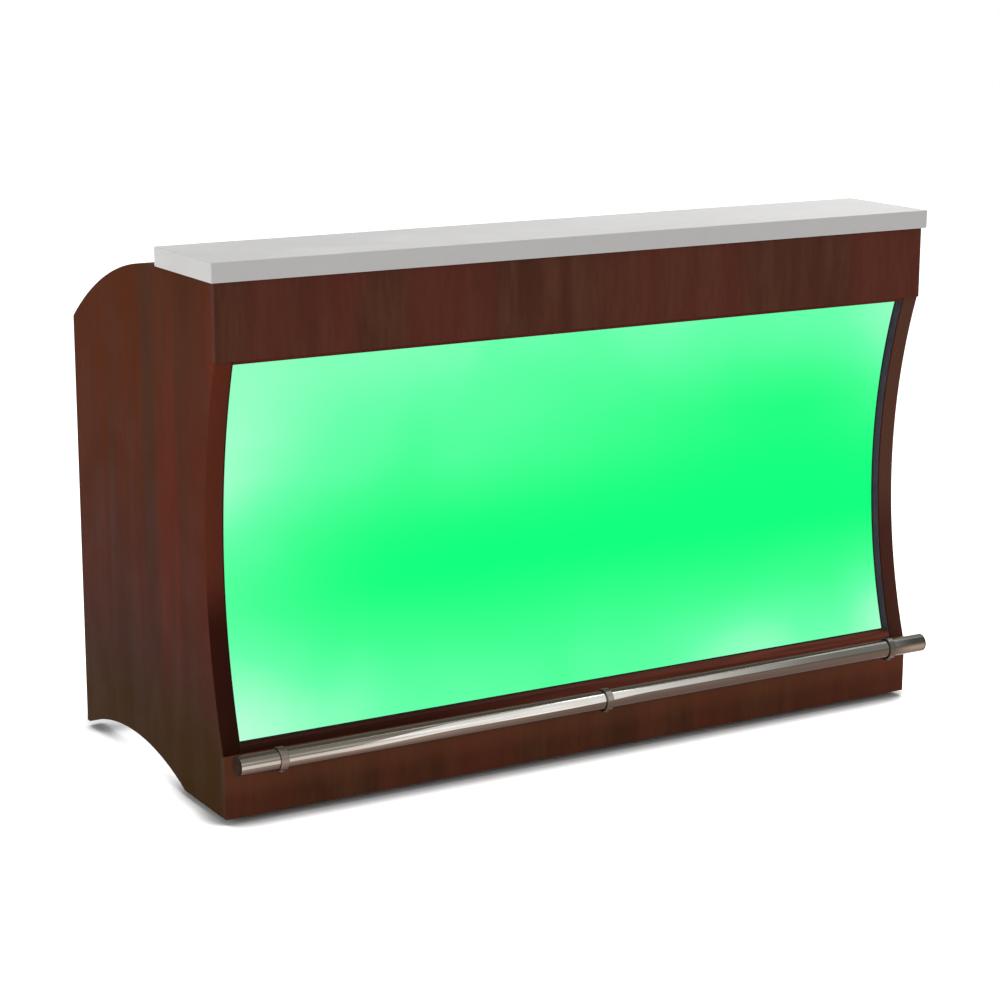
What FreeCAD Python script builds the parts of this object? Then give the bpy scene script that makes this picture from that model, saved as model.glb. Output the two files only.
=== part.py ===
import FreeCAD, Part
import math
import os

# Portable bar with a lit concave front. Millimetres, +Z up, guests stand on the -Y side.
# The origin is on the floor under the middle of the whole bar.

# Body
body_width = 1644.0
body_depth = 705.0
body_height = 1029.0
ground_clearance = 12.0
board_thickness = 19.0
side_thickness = 38.0
cut_overrun = 5.0

# Concave front: its ends stand a little behind the faces of the fascia and the kick board,
# and the kick board covers the deck and the foot of the light panel
kick_cover = 17.5
fascia_height = 148.0
front_setback = 5.0
front_sagitta = 61.0

# Side panels: the arc behind the counter and the arch along the floor
shoulder_drop = 157.0
rear_foot = 12.0
front_foot = 190.0
arch_rise = 50.0

# Counter slab and the cleats that hold it
counter_thickness = 38.0
counter_depth = 261.0
counter_overhang = 8.0
counter_edge_radius = 1.5
cleat_width = 38.0
cleat_height = 38.0

# Light panel, in grooves of the side panels, and its two beads
panel_thickness = 6.0
panel_recess = 20.0
panel_play = 0.25
panel_cover = 8.0
groove_depth = 9.0
upper_bead_height = 7.0
lower_bead_height = 14.0

# Light box behind the panel
wall_setback = 165.0
wall_thickness = 12.0
strip_count = 5
strip_width = 10.0
strip_thickness = 2.0
strip_end_gap = 40.0
strip_edge_gap = 90.0
bus_width = 8.0
lead_radius = 3.0

# Driver housing under the counter, with its rocker switch and power inlet
driver_inset = 304.0
driver_width = 220.0
driver_depth = 42.0
driver_height = 66.0
driver_drop = 18.0
driver_corner_radius = 4.0
driver_ear = 16.0
driver_ear_thickness = 2.0
driver_screw_radius = 2.0
driver_screw_head_radius = 3.8
driver_screw_head_height = 2.2
driver_screw_end_cover = 3.0
switch_offset = 60.0
bezel_flange = 2.0
bezel_floor = 2.0
bezel_wall = 1.5
bezel_end_wall = 3.0
bezel_corner_radius = 2.0
bezel_lip = 2.5
well_depth = 11.0
rocker_width = 18.0
rocker_half_height = 11.5
rocker_crown = 4.0
rocker_waist = 2.6
rocker_root = 3.0
rocker_root_half_height = 9.0
rocker_pivot_depth = 1.4
rocker_pin_radius = 1.5
rocker_tilt = 8.0
rocker_play = 0.5
pin_play = 0.05
inlet_offset = -55.0
inlet_width = 48.0
inlet_height = 24.0
inlet_flange = 2.5
inlet_corner_radius = 3.0
inlet_wall = 2.0
inlet_recess_width = 24.0
inlet_recess_height = 16.5
inlet_recess_depth = 16.0
inlet_chamfer = 5.0
inlet_pin_width = 2.0
inlet_pin_height = 4.0
inlet_pin_length = 11.0
inlet_pin_pitch = 7.0
inlet_pin_rise = 2.0

# Deck, divider, shelf and its pins
deck_rear_inset = 15.0
shelf_rise = 310.0
shelf_setback = 60.0
shelf_play = 1.0
shelf_pin_radius = 2.5
shelf_pin_length = 20.0
shelf_pin_inset = 50.0

# Work top behind the counter
serving_room = 189.0
skin_thickness = 1.5
skin_upstand = 60.0
skin_flange = 40.0
bottle_space = 105.0
apron_height = 90.0
batten_width = 22.0
batten_height = 32.0

# Bottle rail on the apron
bottle_rail_end_gap = 194.0
bottle_rail_setback = 13.0
bottle_rail_lip = 62.0
bottle_rail_drop = 45.0
bottle_rail_gap = 6.0
bottle_rail_thickness = 1.5
bottle_rail_hem = 10.0

# Ice bin, its insulation and drain
bin_side_gap = 132.0
bin_front_gap = 121.0
bin_width = 420.0
bin_height = 250.0
bin_wall = 1.5
bin_corner_radius = 28.0
bin_floor_radius = 10.0
bin_flange = 14.0
bin_play = 1.0
insulation_thickness = 20.0
drain_hole_radius = 12.0
drain_flange_radius = 22.0
drain_flange_thickness = 2.0
drain_pipe_length = 58.0
drain_body_radius = 19.0
drain_body_length = 44.0
drain_elbow_radius = 13.0
drain_outlet_radius = 9.5
drain_outlet_length = 30.0
drain_bore_radius = 7.5
drain_stem_radius = 4.0
drain_boss_radius = 8.0
drain_boss_length = 8.0
drain_cap_radius = 7.0
drain_cap_thickness = 3.0
lever_thickness = 4.0
lever_width = 12.0
lever_length = 68.0
lever_hub_radius = 9.0
lever_play = 0.3

# Lid of the ice bin, its hinges and handle
lid_thickness = 14.0
lid_margin = 3.0
lid_corner_radius = 12.0
lid_gap = 0.4
lid_tray_depth = 1.5
lid_tray_margin = 18.0
hinge_radius = 4.0
hinge_pin_radius = 2.0
hinge_leaf_thickness = 1.5
hinge_leaf_length = 13.0
hinge_length = 50.0
hinge_spacing = 280.0
hinge_play = 0.3
handle_length = 128.0
handle_height = 30.0
handle_radius = 5.0
handle_foot_radius = 8.0
handle_foot_thickness = 3.0
handle_inset = 34.0

# Foot rail and its brackets
rail_radius = 19.05
rail_wall = 1.5
rail_overhang = 0.6
rail_reach = 54.0
rail_play = 0.1
rail_cap_thickness = 3.5
rail_cap_spigot = 14.0
rail_cap_chamfer = 1.0
bracket_inset = 92.6
collar_wall = 3.85
collar_width = 16.0
collar_chamfer = 1.5
arm_radius = 8.0
arm_overlap = 3.0
rail_flange_radius = 20.0
rail_flange_margin = 0.5
rail_flange_thickness = 4.0
rail_flange_chamfer = 1.0
rail_screw_count = 3
rail_screw_circle_radius = 14.0
rail_screw_radius = 2.0
rail_screw_end_cover = 3.0
rail_screw_head_radius = 3.5
rail_screw_head_height = 2.0

# Casters
caster_side_room = 16.0
caster_front_room = 13.5
caster_rear_room = 17.0
caster_trail = 25.0
plate_margin = 10.0
plate_thickness = 3.0
plate_corner_radius = 8.0
plate_hole_inset = 8.0
bolt_radius = 3.0
bolt_end_cover = 6.0
bolt_head_radius = 5.5
bolt_head_height = 4.0
raceway_radius = 25.0
raceway_height = 9.0
raceway_dish = 4.0
crown_radius = 23.0
crown_thickness = 4.0
swivel_gap = 0.3
kingpin_radius = 6.0
kingpin_head_radius = 9.0
kingpin_head_height = 4.0
leg_thickness = 3.0
leg_boss_radius = 11.0
leg_top_half_width = 19.0
ear_radius = 7.0
wheel_radius = 37.5
wheel_width = 24.0
wheel_top_gap = 8.7
tread_thickness = 9.5
tread_chamfer = 2.5
rim_recess = 4.0
hub_radius = 11.0
hub_stand = 2.0
hub_play = 0.5
axle_radius = 4.0
axle_play = 0.06
axle_head_radius = 7.0
axle_head_height = 5.0
brake_pivot_angle = 47.29
brake_pin_radius = 3.0
cam_radius = 5.5
cam_offset = 0.9
cam_gap = 0.33
pedal_length = 33.0
pedal_thickness = 3.0
pedal_tip_radius = 6.0
pedal_slope = 15.0
pedal_end_play = 0.5

# Angles in degrees, a count, and the cosine above which two directions count as parallel
full_turn = 360
quarter_turn = 90
hexagon_corners = 6
alignment_share = 0.99

# Places worked out from the sizes above
half_width = body_width / 2
inner_half = half_width - side_thickness
collar_radius = rail_radius + rail_play + collar_wall
front_y = (rail_reach + collar_radius - body_depth) / 2
lap_y = front_y + board_thickness
edge_y = front_y + front_setback
rear_y = front_y + body_depth
bottom_z = ground_clearance
top_z = bottom_z + body_height
fascia_bottom_z = top_z - fascia_height
counter_back_y = front_y - counter_overhang + counter_depth

raceway_drop = plate_thickness + raceway_height
caster_height = 2 * wheel_radius + wheel_top_gap + crown_thickness + swivel_gap + raceway_drop
deck_bottom_z = caster_height
deck_top_z = deck_bottom_z + board_thickness
kick_top_z = deck_top_z + kick_cover

front_mid_z = (kick_top_z + fascia_bottom_z) / 2
front_half_chord = (fascia_bottom_z - kick_top_z) / 2
front_radius = (front_half_chord ** 2 + front_sagitta ** 2) / (2 * front_sagitta)
front_centre_y = edge_y + front_sagitta - front_radius

panel_top_z = fascia_bottom_z + panel_cover
wall_front_y = front_y + wall_setback
wall_back_y = wall_front_y + wall_thickness
light_box_top_z = panel_top_z + board_thickness

apron_back_y = rear_y - bottle_space
apron_front_y = apron_back_y - board_thickness
work_height = top_z - serving_room
work_board_top_z = work_height - skin_thickness
work_board_bottom_z = work_board_top_z - board_thickness

insulation_top_z = work_board_bottom_z
bin_back_y = apron_front_y - insulation_thickness - bin_play
bin_front_y = wall_back_y + bin_front_gap
bin_floor_z = work_height - bin_height
bin_half_width = bin_width / 2
bin_x = bin_half_width + insulation_thickness + bin_side_gap + batten_width - inner_half
flange_top_z = work_height + bin_wall
drain_y = (bin_front_y + bin_back_y) / 2

lid_bottom_z = flange_top_z + lid_gap
lid_top_z = lid_bottom_z + lid_thickness
lid_front_y = bin_front_y - bin_flange - lid_margin
lid_back_y = bin_back_y + bin_flange
hinge_y = lid_front_y - hinge_leaf_thickness - hinge_radius
hinge_z = work_height + hinge_radius + hinge_leaf_thickness

driver_x = inner_half - driver_inset
driver_top_z = top_z - driver_drop
driver_bottom_z = driver_top_z - driver_height
driver_mid_z = (driver_top_z + driver_bottom_z) / 2
driver_back_y = wall_back_y + driver_depth
rocker_axis_y = driver_back_y + bezel_flange - rocker_pivot_depth

rail_y = front_y - rail_reach
rail_half_length = half_width + rail_overhang
bracket_spacing = rail_half_length - bracket_inset
arm_z = kick_top_z - rail_flange_radius - rail_flange_margin
rail_z = arm_z + collar_radius - arm_overlap
rail_screw_length = rail_flange_thickness + board_thickness - rail_screw_end_cover

raceway_bottom_z = caster_height - raceway_drop
crown_top_z = raceway_bottom_z - swivel_gap
crown_bottom_z = crown_top_z - crown_thickness
plate_size = 2 * (raceway_radius + plate_margin)
plate_hole_spacing = plate_size - 2 * plate_hole_inset
bolt_length = plate_thickness + board_thickness - bolt_end_cover
hub_length = wheel_width + 2 * hub_stand
rim_radius = wheel_radius - tread_thickness
leg_gap = hub_length + 2 * hub_play
leg_outer = leg_gap / 2 + leg_thickness
brake_reach = wheel_radius + cam_radius + cam_offset + cam_gap
brake_pivot_y = brake_reach * math.cos(math.radians(brake_pivot_angle))
brake_pivot_z = brake_reach * math.sin(math.radians(brake_pivot_angle))
pedal_sweep = caster_trail + brake_pivot_y + pedal_length
caster_x = inner_half - pedal_sweep - caster_side_room
caster_front_y = lap_y + caster_trail + wheel_radius + caster_front_room
caster_rear_y = rear_y - pedal_sweep - caster_rear_room


def vec(x, y, z):
    return FreeCAD.Vector(x, y, z)


def block(x0, x1, y0, y1, z0, z1):
    return Part.makeBox(x1 - x0, y1 - y0, z1 - z0, vec(x0, y0, z0))


def rod(radius, start, end):
    run = vec(*end) - vec(*start)
    return Part.makeCylinder(radius, run.Length, vec(*start), run)


def edges_along(solid, direction):
    """Straight edges of a solid that run along one direction."""
    found = []
    for edge in solid.Edges:
        if edge.Curve.TypeId != "Part::GeomLine":
            continue
        if abs(edge.tangentAt(edge.FirstParameter).dot(direction)) > alignment_share:
            found.append(edge)
    return found


def rounded_block(x0, x1, y0, y1, z0, z1, radius, direction):
    solid = block(x0, x1, y0, y1, z0, z1)
    return solid.makeFillet(radius, edges_along(solid, direction))


def prism(edges, x0, x1):
    """A closed outline in the YZ plane, pushed out from x0 to x1."""
    wire = Part.Wire([edge.toShape() for edge in edges])
    wire.translate(vec(x0, 0, 0))
    return Part.Face(wire).extrude(vec(x1 - x0, 0, 0))


def line(start, end):
    return Part.LineSegment(vec(0, *start), vec(0, *end))


def arc(start, middle, end):
    return Part.Arc(vec(0, *start), vec(0, *middle), vec(0, *end))


def revolved(points, axis_start, axis_direction):
    """A closed outline of points, turned all the way round an axis."""
    wire = Part.makePolygon(points + points[:1])
    return Part.Face(wire).revolve(axis_start, axis_direction, full_turn)


def folded_sheet(points, thickness, x0, x1):
    """Sheet metal folded along a path in the YZ plane; the path is its outer face."""
    path = Part.makePolygon([vec(x0, y, z) for y, z in points])
    face = path.makeOffset2D(thickness, 0, True, True)
    return face.extrude(vec(x1 - x0, 0, 0))


def front_arc_y(z, setback):
    """Place of the concave front at a height, for a surface that lies a given depth behind it."""
    radius = front_radius + setback
    return front_centre_y + math.sqrt(radius ** 2 - (z - front_mid_z) ** 2)


def front_arc(setback, z0, z1):
    z_mid = (z0 + z1) / 2
    ends = [(front_arc_y(z, setback), z) for z in (z0, z_mid, z1)]
    return arc(*ends)


def front_layer(setback, thickness, z0, z1, x0, x1):
    """A curved sheet that follows the concave front."""
    back = setback + thickness
    edges = [
        front_arc(setback, z0, z1),
        line((front_arc_y(z1, setback), z1), (front_arc_y(z1, back), z1)),
        front_arc(back, z1, z0),
        line((front_arc_y(z0, back), z0), (front_arc_y(z0, setback), z0)),
    ]
    return prism(edges, x0, x1)


def save(name, shape):
    shape.exportStep(os.path.join("parts", name + ".step"))


# Body

def side_outline():
    """Edges of a side panel seen from the side, from the kick board's foot round to the arch."""
    shoulder_run = rear_y - counter_back_y
    shoulder_radius = (shoulder_run ** 2 + shoulder_drop ** 2) / (2 * shoulder_drop)
    shoulder_centre_z = top_z - shoulder_radius
    half_angle = math.asin(shoulder_run / shoulder_radius) / 2
    shoulder_mid = (
        counter_back_y + shoulder_radius * math.sin(half_angle),
        shoulder_centre_z + shoulder_radius * math.cos(half_angle),
    )
    shoulder_end = (rear_y, top_z - shoulder_drop)
    arch_rear_y = rear_y - rear_foot
    arch_front_y = front_y + front_foot
    arch_mid = ((arch_rear_y + arch_front_y) / 2, bottom_z + arch_rise)
    return [
        line((lap_y, bottom_z), (lap_y, kick_top_z)),
        line((lap_y, kick_top_z), (edge_y, kick_top_z)),
        front_arc(0, kick_top_z, fascia_bottom_z),
        line((edge_y, fascia_bottom_z), (lap_y, fascia_bottom_z)),
        line((lap_y, fascia_bottom_z), (lap_y, top_z)),
        line((lap_y, top_z), (counter_back_y, top_z)),
        arc((counter_back_y, top_z), shoulder_mid, shoulder_end),
        line(shoulder_end, (rear_y, bottom_z)),
        line((rear_y, bottom_z), (arch_rear_y, bottom_z)),
        arc((arch_rear_y, bottom_z), arch_mid, (arch_front_y, bottom_z)),
        line((arch_front_y, bottom_z), (lap_y, bottom_z)),
    ]


def shelf_pin_places(x_faces):
    """Start and end of each shelf pin, half of it sunk in the panel that carries it."""
    half = shelf_pin_length / 2
    pin_z = deck_top_z + shelf_rise - shelf_pin_radius
    y_front = wall_back_y + shelf_pin_inset
    y_back = apron_front_y - shelf_setback - shelf_pin_inset
    places = []
    for x in x_faces:
        for y in (y_front, y_back):
            places.append(((x - half, y, pin_z), (x + half, y, pin_z)))
    return places


def side_panel(side):
    x0, x1 = sorted((side * inner_half, side * half_width))
    panel = prism(side_outline(), x0, x1)
    groove_x0, groove_x1 = sorted((side * (inner_half - cut_overrun), side * (inner_half + groove_depth)))
    groove = front_layer(
        panel_recess - panel_play,
        panel_thickness + 2 * panel_play,
        deck_top_z,
        panel_top_z + panel_play,
        groove_x0,
        groove_x1,
    )
    panel = panel.cut(groove)
    if side > 0:
        for start, end in shelf_pin_places([inner_half]):
            panel = panel.cut(rod(shelf_pin_radius, start, end))
    return panel


def flange_screw_places(x):
    """Axis places of the screws in one flange of the foot rail, as (x, z)."""
    places = []
    for index in range(rail_screw_count):
        angle = math.radians(quarter_turn + full_turn * index / rail_screw_count)
        dx = rail_screw_circle_radius * math.cos(angle)
        dz = rail_screw_circle_radius * math.sin(angle)
        places.append((x + dx, arm_z + dz))
    return places


def bracket_places():
    return {"left": -bracket_spacing, "centre": 0, "right": bracket_spacing}


def screw_start_y():
    return front_y - rail_flange_thickness


def screw_shank(x, z):
    start = screw_start_y()
    return rod(rail_screw_radius, (x, start, z), (x, start + rail_screw_length, z))


def kick_board():
    board = block(-half_width, half_width, front_y, lap_y, bottom_z, kick_top_z)
    for x in bracket_places().values():
        for place in flange_screw_places(x):
            board = board.cut(screw_shank(*place))
    return board


def fascia_board():
    return block(-half_width, half_width, front_y, lap_y, fascia_bottom_z, top_z)


def caster_places():
    return {
        "front_left": (-caster_x, caster_front_y),
        "front_right": (caster_x, caster_front_y),
        "rear_left": (-caster_x, caster_rear_y),
        "rear_right": (caster_x, caster_rear_y),
    }


def plate_hole_places(x, y):
    half = plate_hole_spacing / 2
    return [(x + sx * half, y + sy * half) for sx in (-1, 1) for sy in (-1, 1)]


def base_deck():
    deck = block(-inner_half, inner_half, lap_y, rear_y - deck_rear_inset, deck_bottom_z, deck_top_z)
    shank_top_z = caster_height - plate_thickness + bolt_length
    for x, y in caster_places().values():
        for hole_x, hole_y in plate_hole_places(x, y):
            start = (hole_x, hole_y, deck_bottom_z - cut_overrun)
            deck = deck.cut(rod(bolt_radius, start, (hole_x, hole_y, shank_top_z)))
    return deck


def wall_hole():
    start = (driver_x, wall_front_y - cut_overrun, driver_mid_z)
    return rod(lead_radius, start, (driver_x, wall_back_y + cut_overrun, driver_mid_z))


def inner_wall():
    wall = block(-inner_half, inner_half, wall_front_y, wall_back_y, deck_top_z, top_z)
    wall = wall.cut(wall_hole())
    for side in (-1, 1):
        wall = wall.cut(driver_screw_shank(side))
    return wall


def centre_divider():
    half = board_thickness / 2
    divider = block(-half, half, wall_back_y, apron_front_y, deck_top_z, work_board_bottom_z)
    for start, end in shelf_pin_places([half]):
        divider = divider.cut(rod(shelf_pin_radius, start, end))
    return divider


def storage_shelf():
    z0 = deck_top_z + shelf_rise
    return block(
        board_thickness / 2 + shelf_play,
        inner_half - shelf_play,
        wall_back_y + shelf_play,
        apron_front_y - shelf_setback,
        z0,
        z0 + board_thickness,
    )


def shelf_pins():
    places = shelf_pin_places([board_thickness / 2, inner_half])
    return Part.makeCompound([rod(shelf_pin_radius, start, end) for start, end in places])


def work_top_cutout(z0, z1):
    """Square-cornered opening for the ice bin, which the bin's flange covers."""
    x = bin_half_width + bin_play
    return block(bin_x - x, bin_x + x, bin_front_y - bin_play, bin_back_y + bin_play, z0, z1)


def work_top_board():
    board = block(
        -inner_half, inner_half, wall_back_y, apron_front_y, work_board_bottom_z, work_board_top_z
    )
    z0 = work_board_bottom_z - cut_overrun
    return board.cut(work_top_cutout(z0, work_board_top_z + cut_overrun))


def work_top_apron():
    z0 = work_board_top_z - apron_height
    return block(-inner_half, inner_half, apron_front_y, apron_back_y, z0, work_board_top_z)


def work_top_battens():
    """Battens on the side panels that carry the work top board."""
    z0 = work_board_bottom_z - batten_height
    battens = []
    for side in (-1, 1):
        x0, x1 = sorted((side * (inner_half - batten_width), side * inner_half))
        battens.append(block(x0, x1, wall_back_y, apron_front_y, z0, work_board_bottom_z))
    return Part.makeCompound(battens)


def counter_slab():
    x = half_width + counter_overhang
    y0 = front_y - counter_overhang
    slab = block(-x, x, y0, counter_back_y, top_z, top_z + counter_thickness)
    return slab.makeFillet(counter_edge_radius, slab.Edges)


def counter_cleats():
    z0 = top_z - cleat_height
    front = block(-inner_half, inner_half, lap_y, lap_y + cleat_width, z0, top_z)
    rear = block(-inner_half, inner_half, wall_front_y - cleat_width, wall_front_y, z0, top_z)
    bus_y = wall_front_y - strip_thickness
    half = bus_width / 2
    bus_slot = block(driver_x - half, driver_x + half, bus_y, wall_front_y, z0, top_z)
    return Part.makeCompound([front, rear.cut(bus_slot)])


# Light box

def light_panel():
    half = inner_half + groove_depth - panel_play
    return front_layer(panel_recess, panel_thickness, deck_top_z, panel_top_z, -half, half)


def panel_bead(z0, z1):
    return front_layer(0, panel_recess - panel_play, z0, z1, -inner_half, inner_half)


def bus_notch(z0, z1):
    half = bus_width / 2
    return block(driver_x - half, driver_x + half, wall_front_y - strip_thickness, wall_front_y, z0, z1)


def light_box_top():
    board = block(-inner_half, inner_half, lap_y, wall_front_y, panel_top_z, light_box_top_z)
    return board.cut(bus_notch(panel_top_z - cut_overrun, light_box_top_z + cut_overrun))


def light_strips():
    """Strips across the inner wall, on both sides of the flat bus that feeds them."""
    low_z = deck_top_z + strip_edge_gap
    high_z = panel_top_z - strip_edge_gap
    y0 = wall_front_y - strip_thickness
    x_end = inner_half - strip_end_gap
    half_bus = bus_width / 2
    solids = [bus_notch(low_z - strip_width / 2, driver_mid_z + lead_radius)]
    for index in range(strip_count):
        z = low_z + (high_z - low_z) * index / (strip_count - 1)
        z0 = z - strip_width / 2
        for x0, x1 in ((-x_end, driver_x - half_bus), (driver_x + half_bus, x_end)):
            solids.append(block(x0, x1, y0, wall_front_y, z0, z0 + strip_width))
    return Part.makeCompound(solids)


def strip_lead():
    start = (driver_x, wall_front_y, driver_mid_z)
    return rod(lead_radius, start, (driver_x, wall_back_y, driver_mid_z))


def switch_x():
    return driver_x + switch_offset


def inlet_x():
    return driver_x + inlet_offset


def rocker_well_size():
    """Half the width and half the height of the room that the rocker tilts in."""
    half_h = math.hypot(rocker_half_height, rocker_crown) + rocker_play
    return rocker_width / 2 + rocker_play, half_h


def bezel_body():
    """The part of the bezel that is sunk in the driver housing."""
    well_half_w, well_half_h = rocker_well_size()
    half_w = well_half_w + bezel_wall
    half_h = well_half_h + bezel_wall
    y0 = driver_back_y - well_depth - bezel_floor
    x = switch_x()
    return block(x - half_w, x + half_w, y0, driver_back_y, driver_mid_z - half_h, driver_mid_z + half_h)


def inlet_body():
    half_w = inlet_recess_width / 2 + inlet_wall
    half_h = inlet_recess_height / 2 + inlet_wall
    y0 = driver_back_y + inlet_flange - inlet_recess_depth - inlet_wall
    x = inlet_x()
    return block(x - half_w, x + half_w, y0, driver_back_y, driver_mid_z - half_h, driver_mid_z + half_h)


def driver_housing():
    half = driver_width / 2
    housing = rounded_block(
        driver_x - half,
        driver_x + half,
        wall_back_y,
        driver_back_y,
        driver_bottom_z,
        driver_top_z,
        driver_corner_radius,
        vec(1, 0, 0),
    )
    housing = housing.cut(bezel_body()).cut(inlet_body())
    for side in (-1, 1):
        x0, x1 = sorted((driver_x + side * half, driver_x + side * (half + driver_ear)))
        y1 = wall_back_y + driver_ear_thickness
        ear_z0 = driver_mid_z - driver_ear / 2
        ear = block(x0, x1, wall_back_y, y1, ear_z0, ear_z0 + driver_ear)
        housing = housing.fuse(ear.cut(driver_screw_shank(side)))
    return housing.removeSplitter()


def driver_screw_shank(side):
    """Shank of the screw through one ear, into the inner wall."""
    x = driver_x + side * (driver_width + driver_ear) / 2
    y0 = wall_front_y + driver_screw_end_cover
    y1 = wall_back_y + driver_ear_thickness
    return rod(driver_screw_radius, (x, y0, driver_mid_z), (x, y1, driver_mid_z))


def driver_screws():
    screws = []
    y0 = wall_back_y + driver_ear_thickness
    for side in (-1, 1):
        x = driver_x + side * (driver_width + driver_ear) / 2
        seat = (x, y0, driver_mid_z)
        head = rod(driver_screw_head_radius, seat, (x, y0 + driver_screw_head_height, driver_mid_z))
        screws.append(head.fuse(driver_screw_shank(side)))
    return Part.makeCompound(screws)


def switch_bezel():
    x = switch_x()
    well_half_w, well_half_h = rocker_well_size()
    half_w = well_half_w + bezel_wall + bezel_lip
    half_h = well_half_h + bezel_end_wall + bezel_lip
    flange = rounded_block(
        x - half_w,
        x + half_w,
        driver_back_y,
        driver_back_y + bezel_flange,
        driver_mid_z - half_h,
        driver_mid_z + half_h,
        bezel_corner_radius,
        vec(0, 1, 0),
    )
    well = block(
        x - well_half_w,
        x + well_half_w,
        driver_back_y - well_depth,
        driver_back_y + bezel_flange + cut_overrun,
        driver_mid_z - well_half_h,
        driver_mid_z + well_half_h,
    )
    return flange.fuse(bezel_body()).cut(well).cut(rocker_pin(pin_play)).removeSplitter()


def rocker_pin(play):
    half = rocker_width / 2 + rocker_play + bezel_wall / 2
    x = switch_x()
    start = (x - half - play, rocker_axis_y, driver_mid_z)
    return rod(rocker_pin_radius + play, start, (x + half + play, rocker_axis_y, driver_mid_z))


def switch_rocker():
    """The rocker with its upper half pressed, which is on."""
    half = rocker_width / 2
    x = switch_x()
    places = [
        (rocker_crown, rocker_half_height),
        (rocker_waist, 0),
        (rocker_crown, -rocker_half_height),
        (-rocker_root, -rocker_root_half_height),
        (-rocker_root, rocker_root_half_height),
    ]
    points = [(rocker_axis_y + dy, driver_mid_z + dz) for dy, dz in places]
    edges = [line(points[i], points[(i + 1) % len(points)]) for i in range(len(points))]
    rocker = prism(edges, x - half, x + half).fuse(rocker_pin(0)).removeSplitter()
    rocker.rotate(vec(x, rocker_axis_y, driver_mid_z), vec(1, 0, 0), rocker_tilt)
    return rocker


def power_inlet():
    x = inlet_x()
    half_w = inlet_width / 2
    half_h = inlet_height / 2
    y1 = driver_back_y + inlet_flange
    flange = rounded_block(
        x - half_w,
        x + half_w,
        driver_back_y,
        y1,
        driver_mid_z - half_h,
        driver_mid_z + half_h,
        inlet_corner_radius,
        vec(0, 1, 0),
    )
    recess_half_w = inlet_recess_width / 2
    recess_half_h = inlet_recess_height / 2
    floor_y = y1 - inlet_recess_depth
    recess = block(
        x - recess_half_w,
        x + recess_half_w,
        floor_y,
        y1 + cut_overrun,
        driver_mid_z - recess_half_h,
        driver_mid_z + recess_half_h,
    )
    upper = [e for e in edges_along(recess, vec(0, 1, 0)) if e.CenterOfMass.z > driver_mid_z]
    recess = recess.makeChamfer(inlet_chamfer, upper)
    inlet = flange.fuse(inlet_body()).cut(recess)
    half_pin = inlet_pin_width / 2
    for index in (-1, 0, 1):
        pin_x = x + index * inlet_pin_pitch
        pin_z = driver_mid_z - inlet_pin_rise
        if index == 0:
            pin_z = driver_mid_z + inlet_pin_rise
        z0 = pin_z - inlet_pin_height / 2
        pin_end = floor_y + inlet_pin_length
        pin = block(pin_x - half_pin, pin_x + half_pin, floor_y, pin_end, z0, z0 + inlet_pin_height)
        inlet = inlet.fuse(pin)
    return inlet.removeSplitter()


# Work top in folded steel and the bottle rail

def work_top_skin():
    path = [
        (wall_back_y + skin_thickness, work_height + skin_upstand),
        (wall_back_y + skin_thickness, work_height),
        (apron_back_y + skin_thickness, work_height),
        (apron_back_y + skin_thickness, work_height - skin_flange),
    ]
    skin = folded_sheet(path, skin_thickness, -inner_half, inner_half)
    skin = skin.cut(work_top_cutout(work_board_top_z - cut_overrun, work_height + cut_overrun))
    fold = []
    for edge in edges_along(skin, vec(1, 0, 0)):
        centre = edge.CenterOfMass
        if abs(centre.y - apron_back_y - skin_thickness) < skin_thickness / 2:
            if abs(centre.z - work_height) < skin_thickness / 2:
                fold.append(edge)
    return skin.makeFillet(skin_thickness, fold)


def bottle_rail():
    top = work_height - skin_flange - bottle_rail_gap
    floor_z = work_board_top_z - apron_height - bottle_rail_drop
    back_y = apron_back_y + bottle_rail_thickness
    lip_y = rear_y - bottle_rail_setback
    path = [
        (back_y, top),
        (back_y, floor_z),
        (lip_y, floor_z),
        (lip_y, floor_z + bottle_rail_lip),
        (lip_y - bottle_rail_hem, floor_z + bottle_rail_lip),
    ]
    half = inner_half - bottle_rail_end_gap
    trough = folded_sheet(path, bottle_rail_thickness, -half, half)
    for side in (-1, 1):
        x0, x1 = sorted((side * half, side * (half - bottle_rail_thickness)))
        end = block(x0, x1, back_y, lip_y, floor_z, floor_z + bottle_rail_lip)
        trough = trough.fuse(end)
    return trough.removeSplitter()


# Ice bin

def bin_shape(wall, rim_z):
    """Block with rounded corners and a rounded floor, a given wall inside the liner's outer face."""
    shape = rounded_block(
        bin_x - bin_half_width + wall,
        bin_x + bin_half_width - wall,
        bin_front_y + wall,
        bin_back_y - wall,
        bin_floor_z + wall,
        rim_z,
        bin_corner_radius - wall,
        vec(0, 0, 1),
    )
    floor = [e for e in shape.Edges if abs(e.BoundBox.ZMax - bin_floor_z - wall) < bin_wall / 4]
    return shape.makeFillet(bin_floor_radius - wall, floor)


def drain_hole(radius):
    start = (bin_x, drain_y, bin_floor_z - insulation_thickness - cut_overrun)
    return rod(radius, start, (bin_x, drain_y, bin_floor_z + bin_wall + cut_overrun))


def ice_bin_liner():
    flange = rounded_block(
        bin_x - bin_half_width - bin_flange,
        bin_x + bin_half_width + bin_flange,
        bin_front_y - bin_flange,
        bin_back_y + bin_flange,
        work_height,
        flange_top_z,
        bin_corner_radius + bin_flange,
        vec(0, 0, 1),
    )
    outside = bin_shape(0, work_height)
    inside = bin_shape(bin_wall, flange_top_z + cut_overrun)
    return outside.fuse(flange).cut(inside).cut(drain_hole(drain_hole_radius)).removeSplitter()


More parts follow.
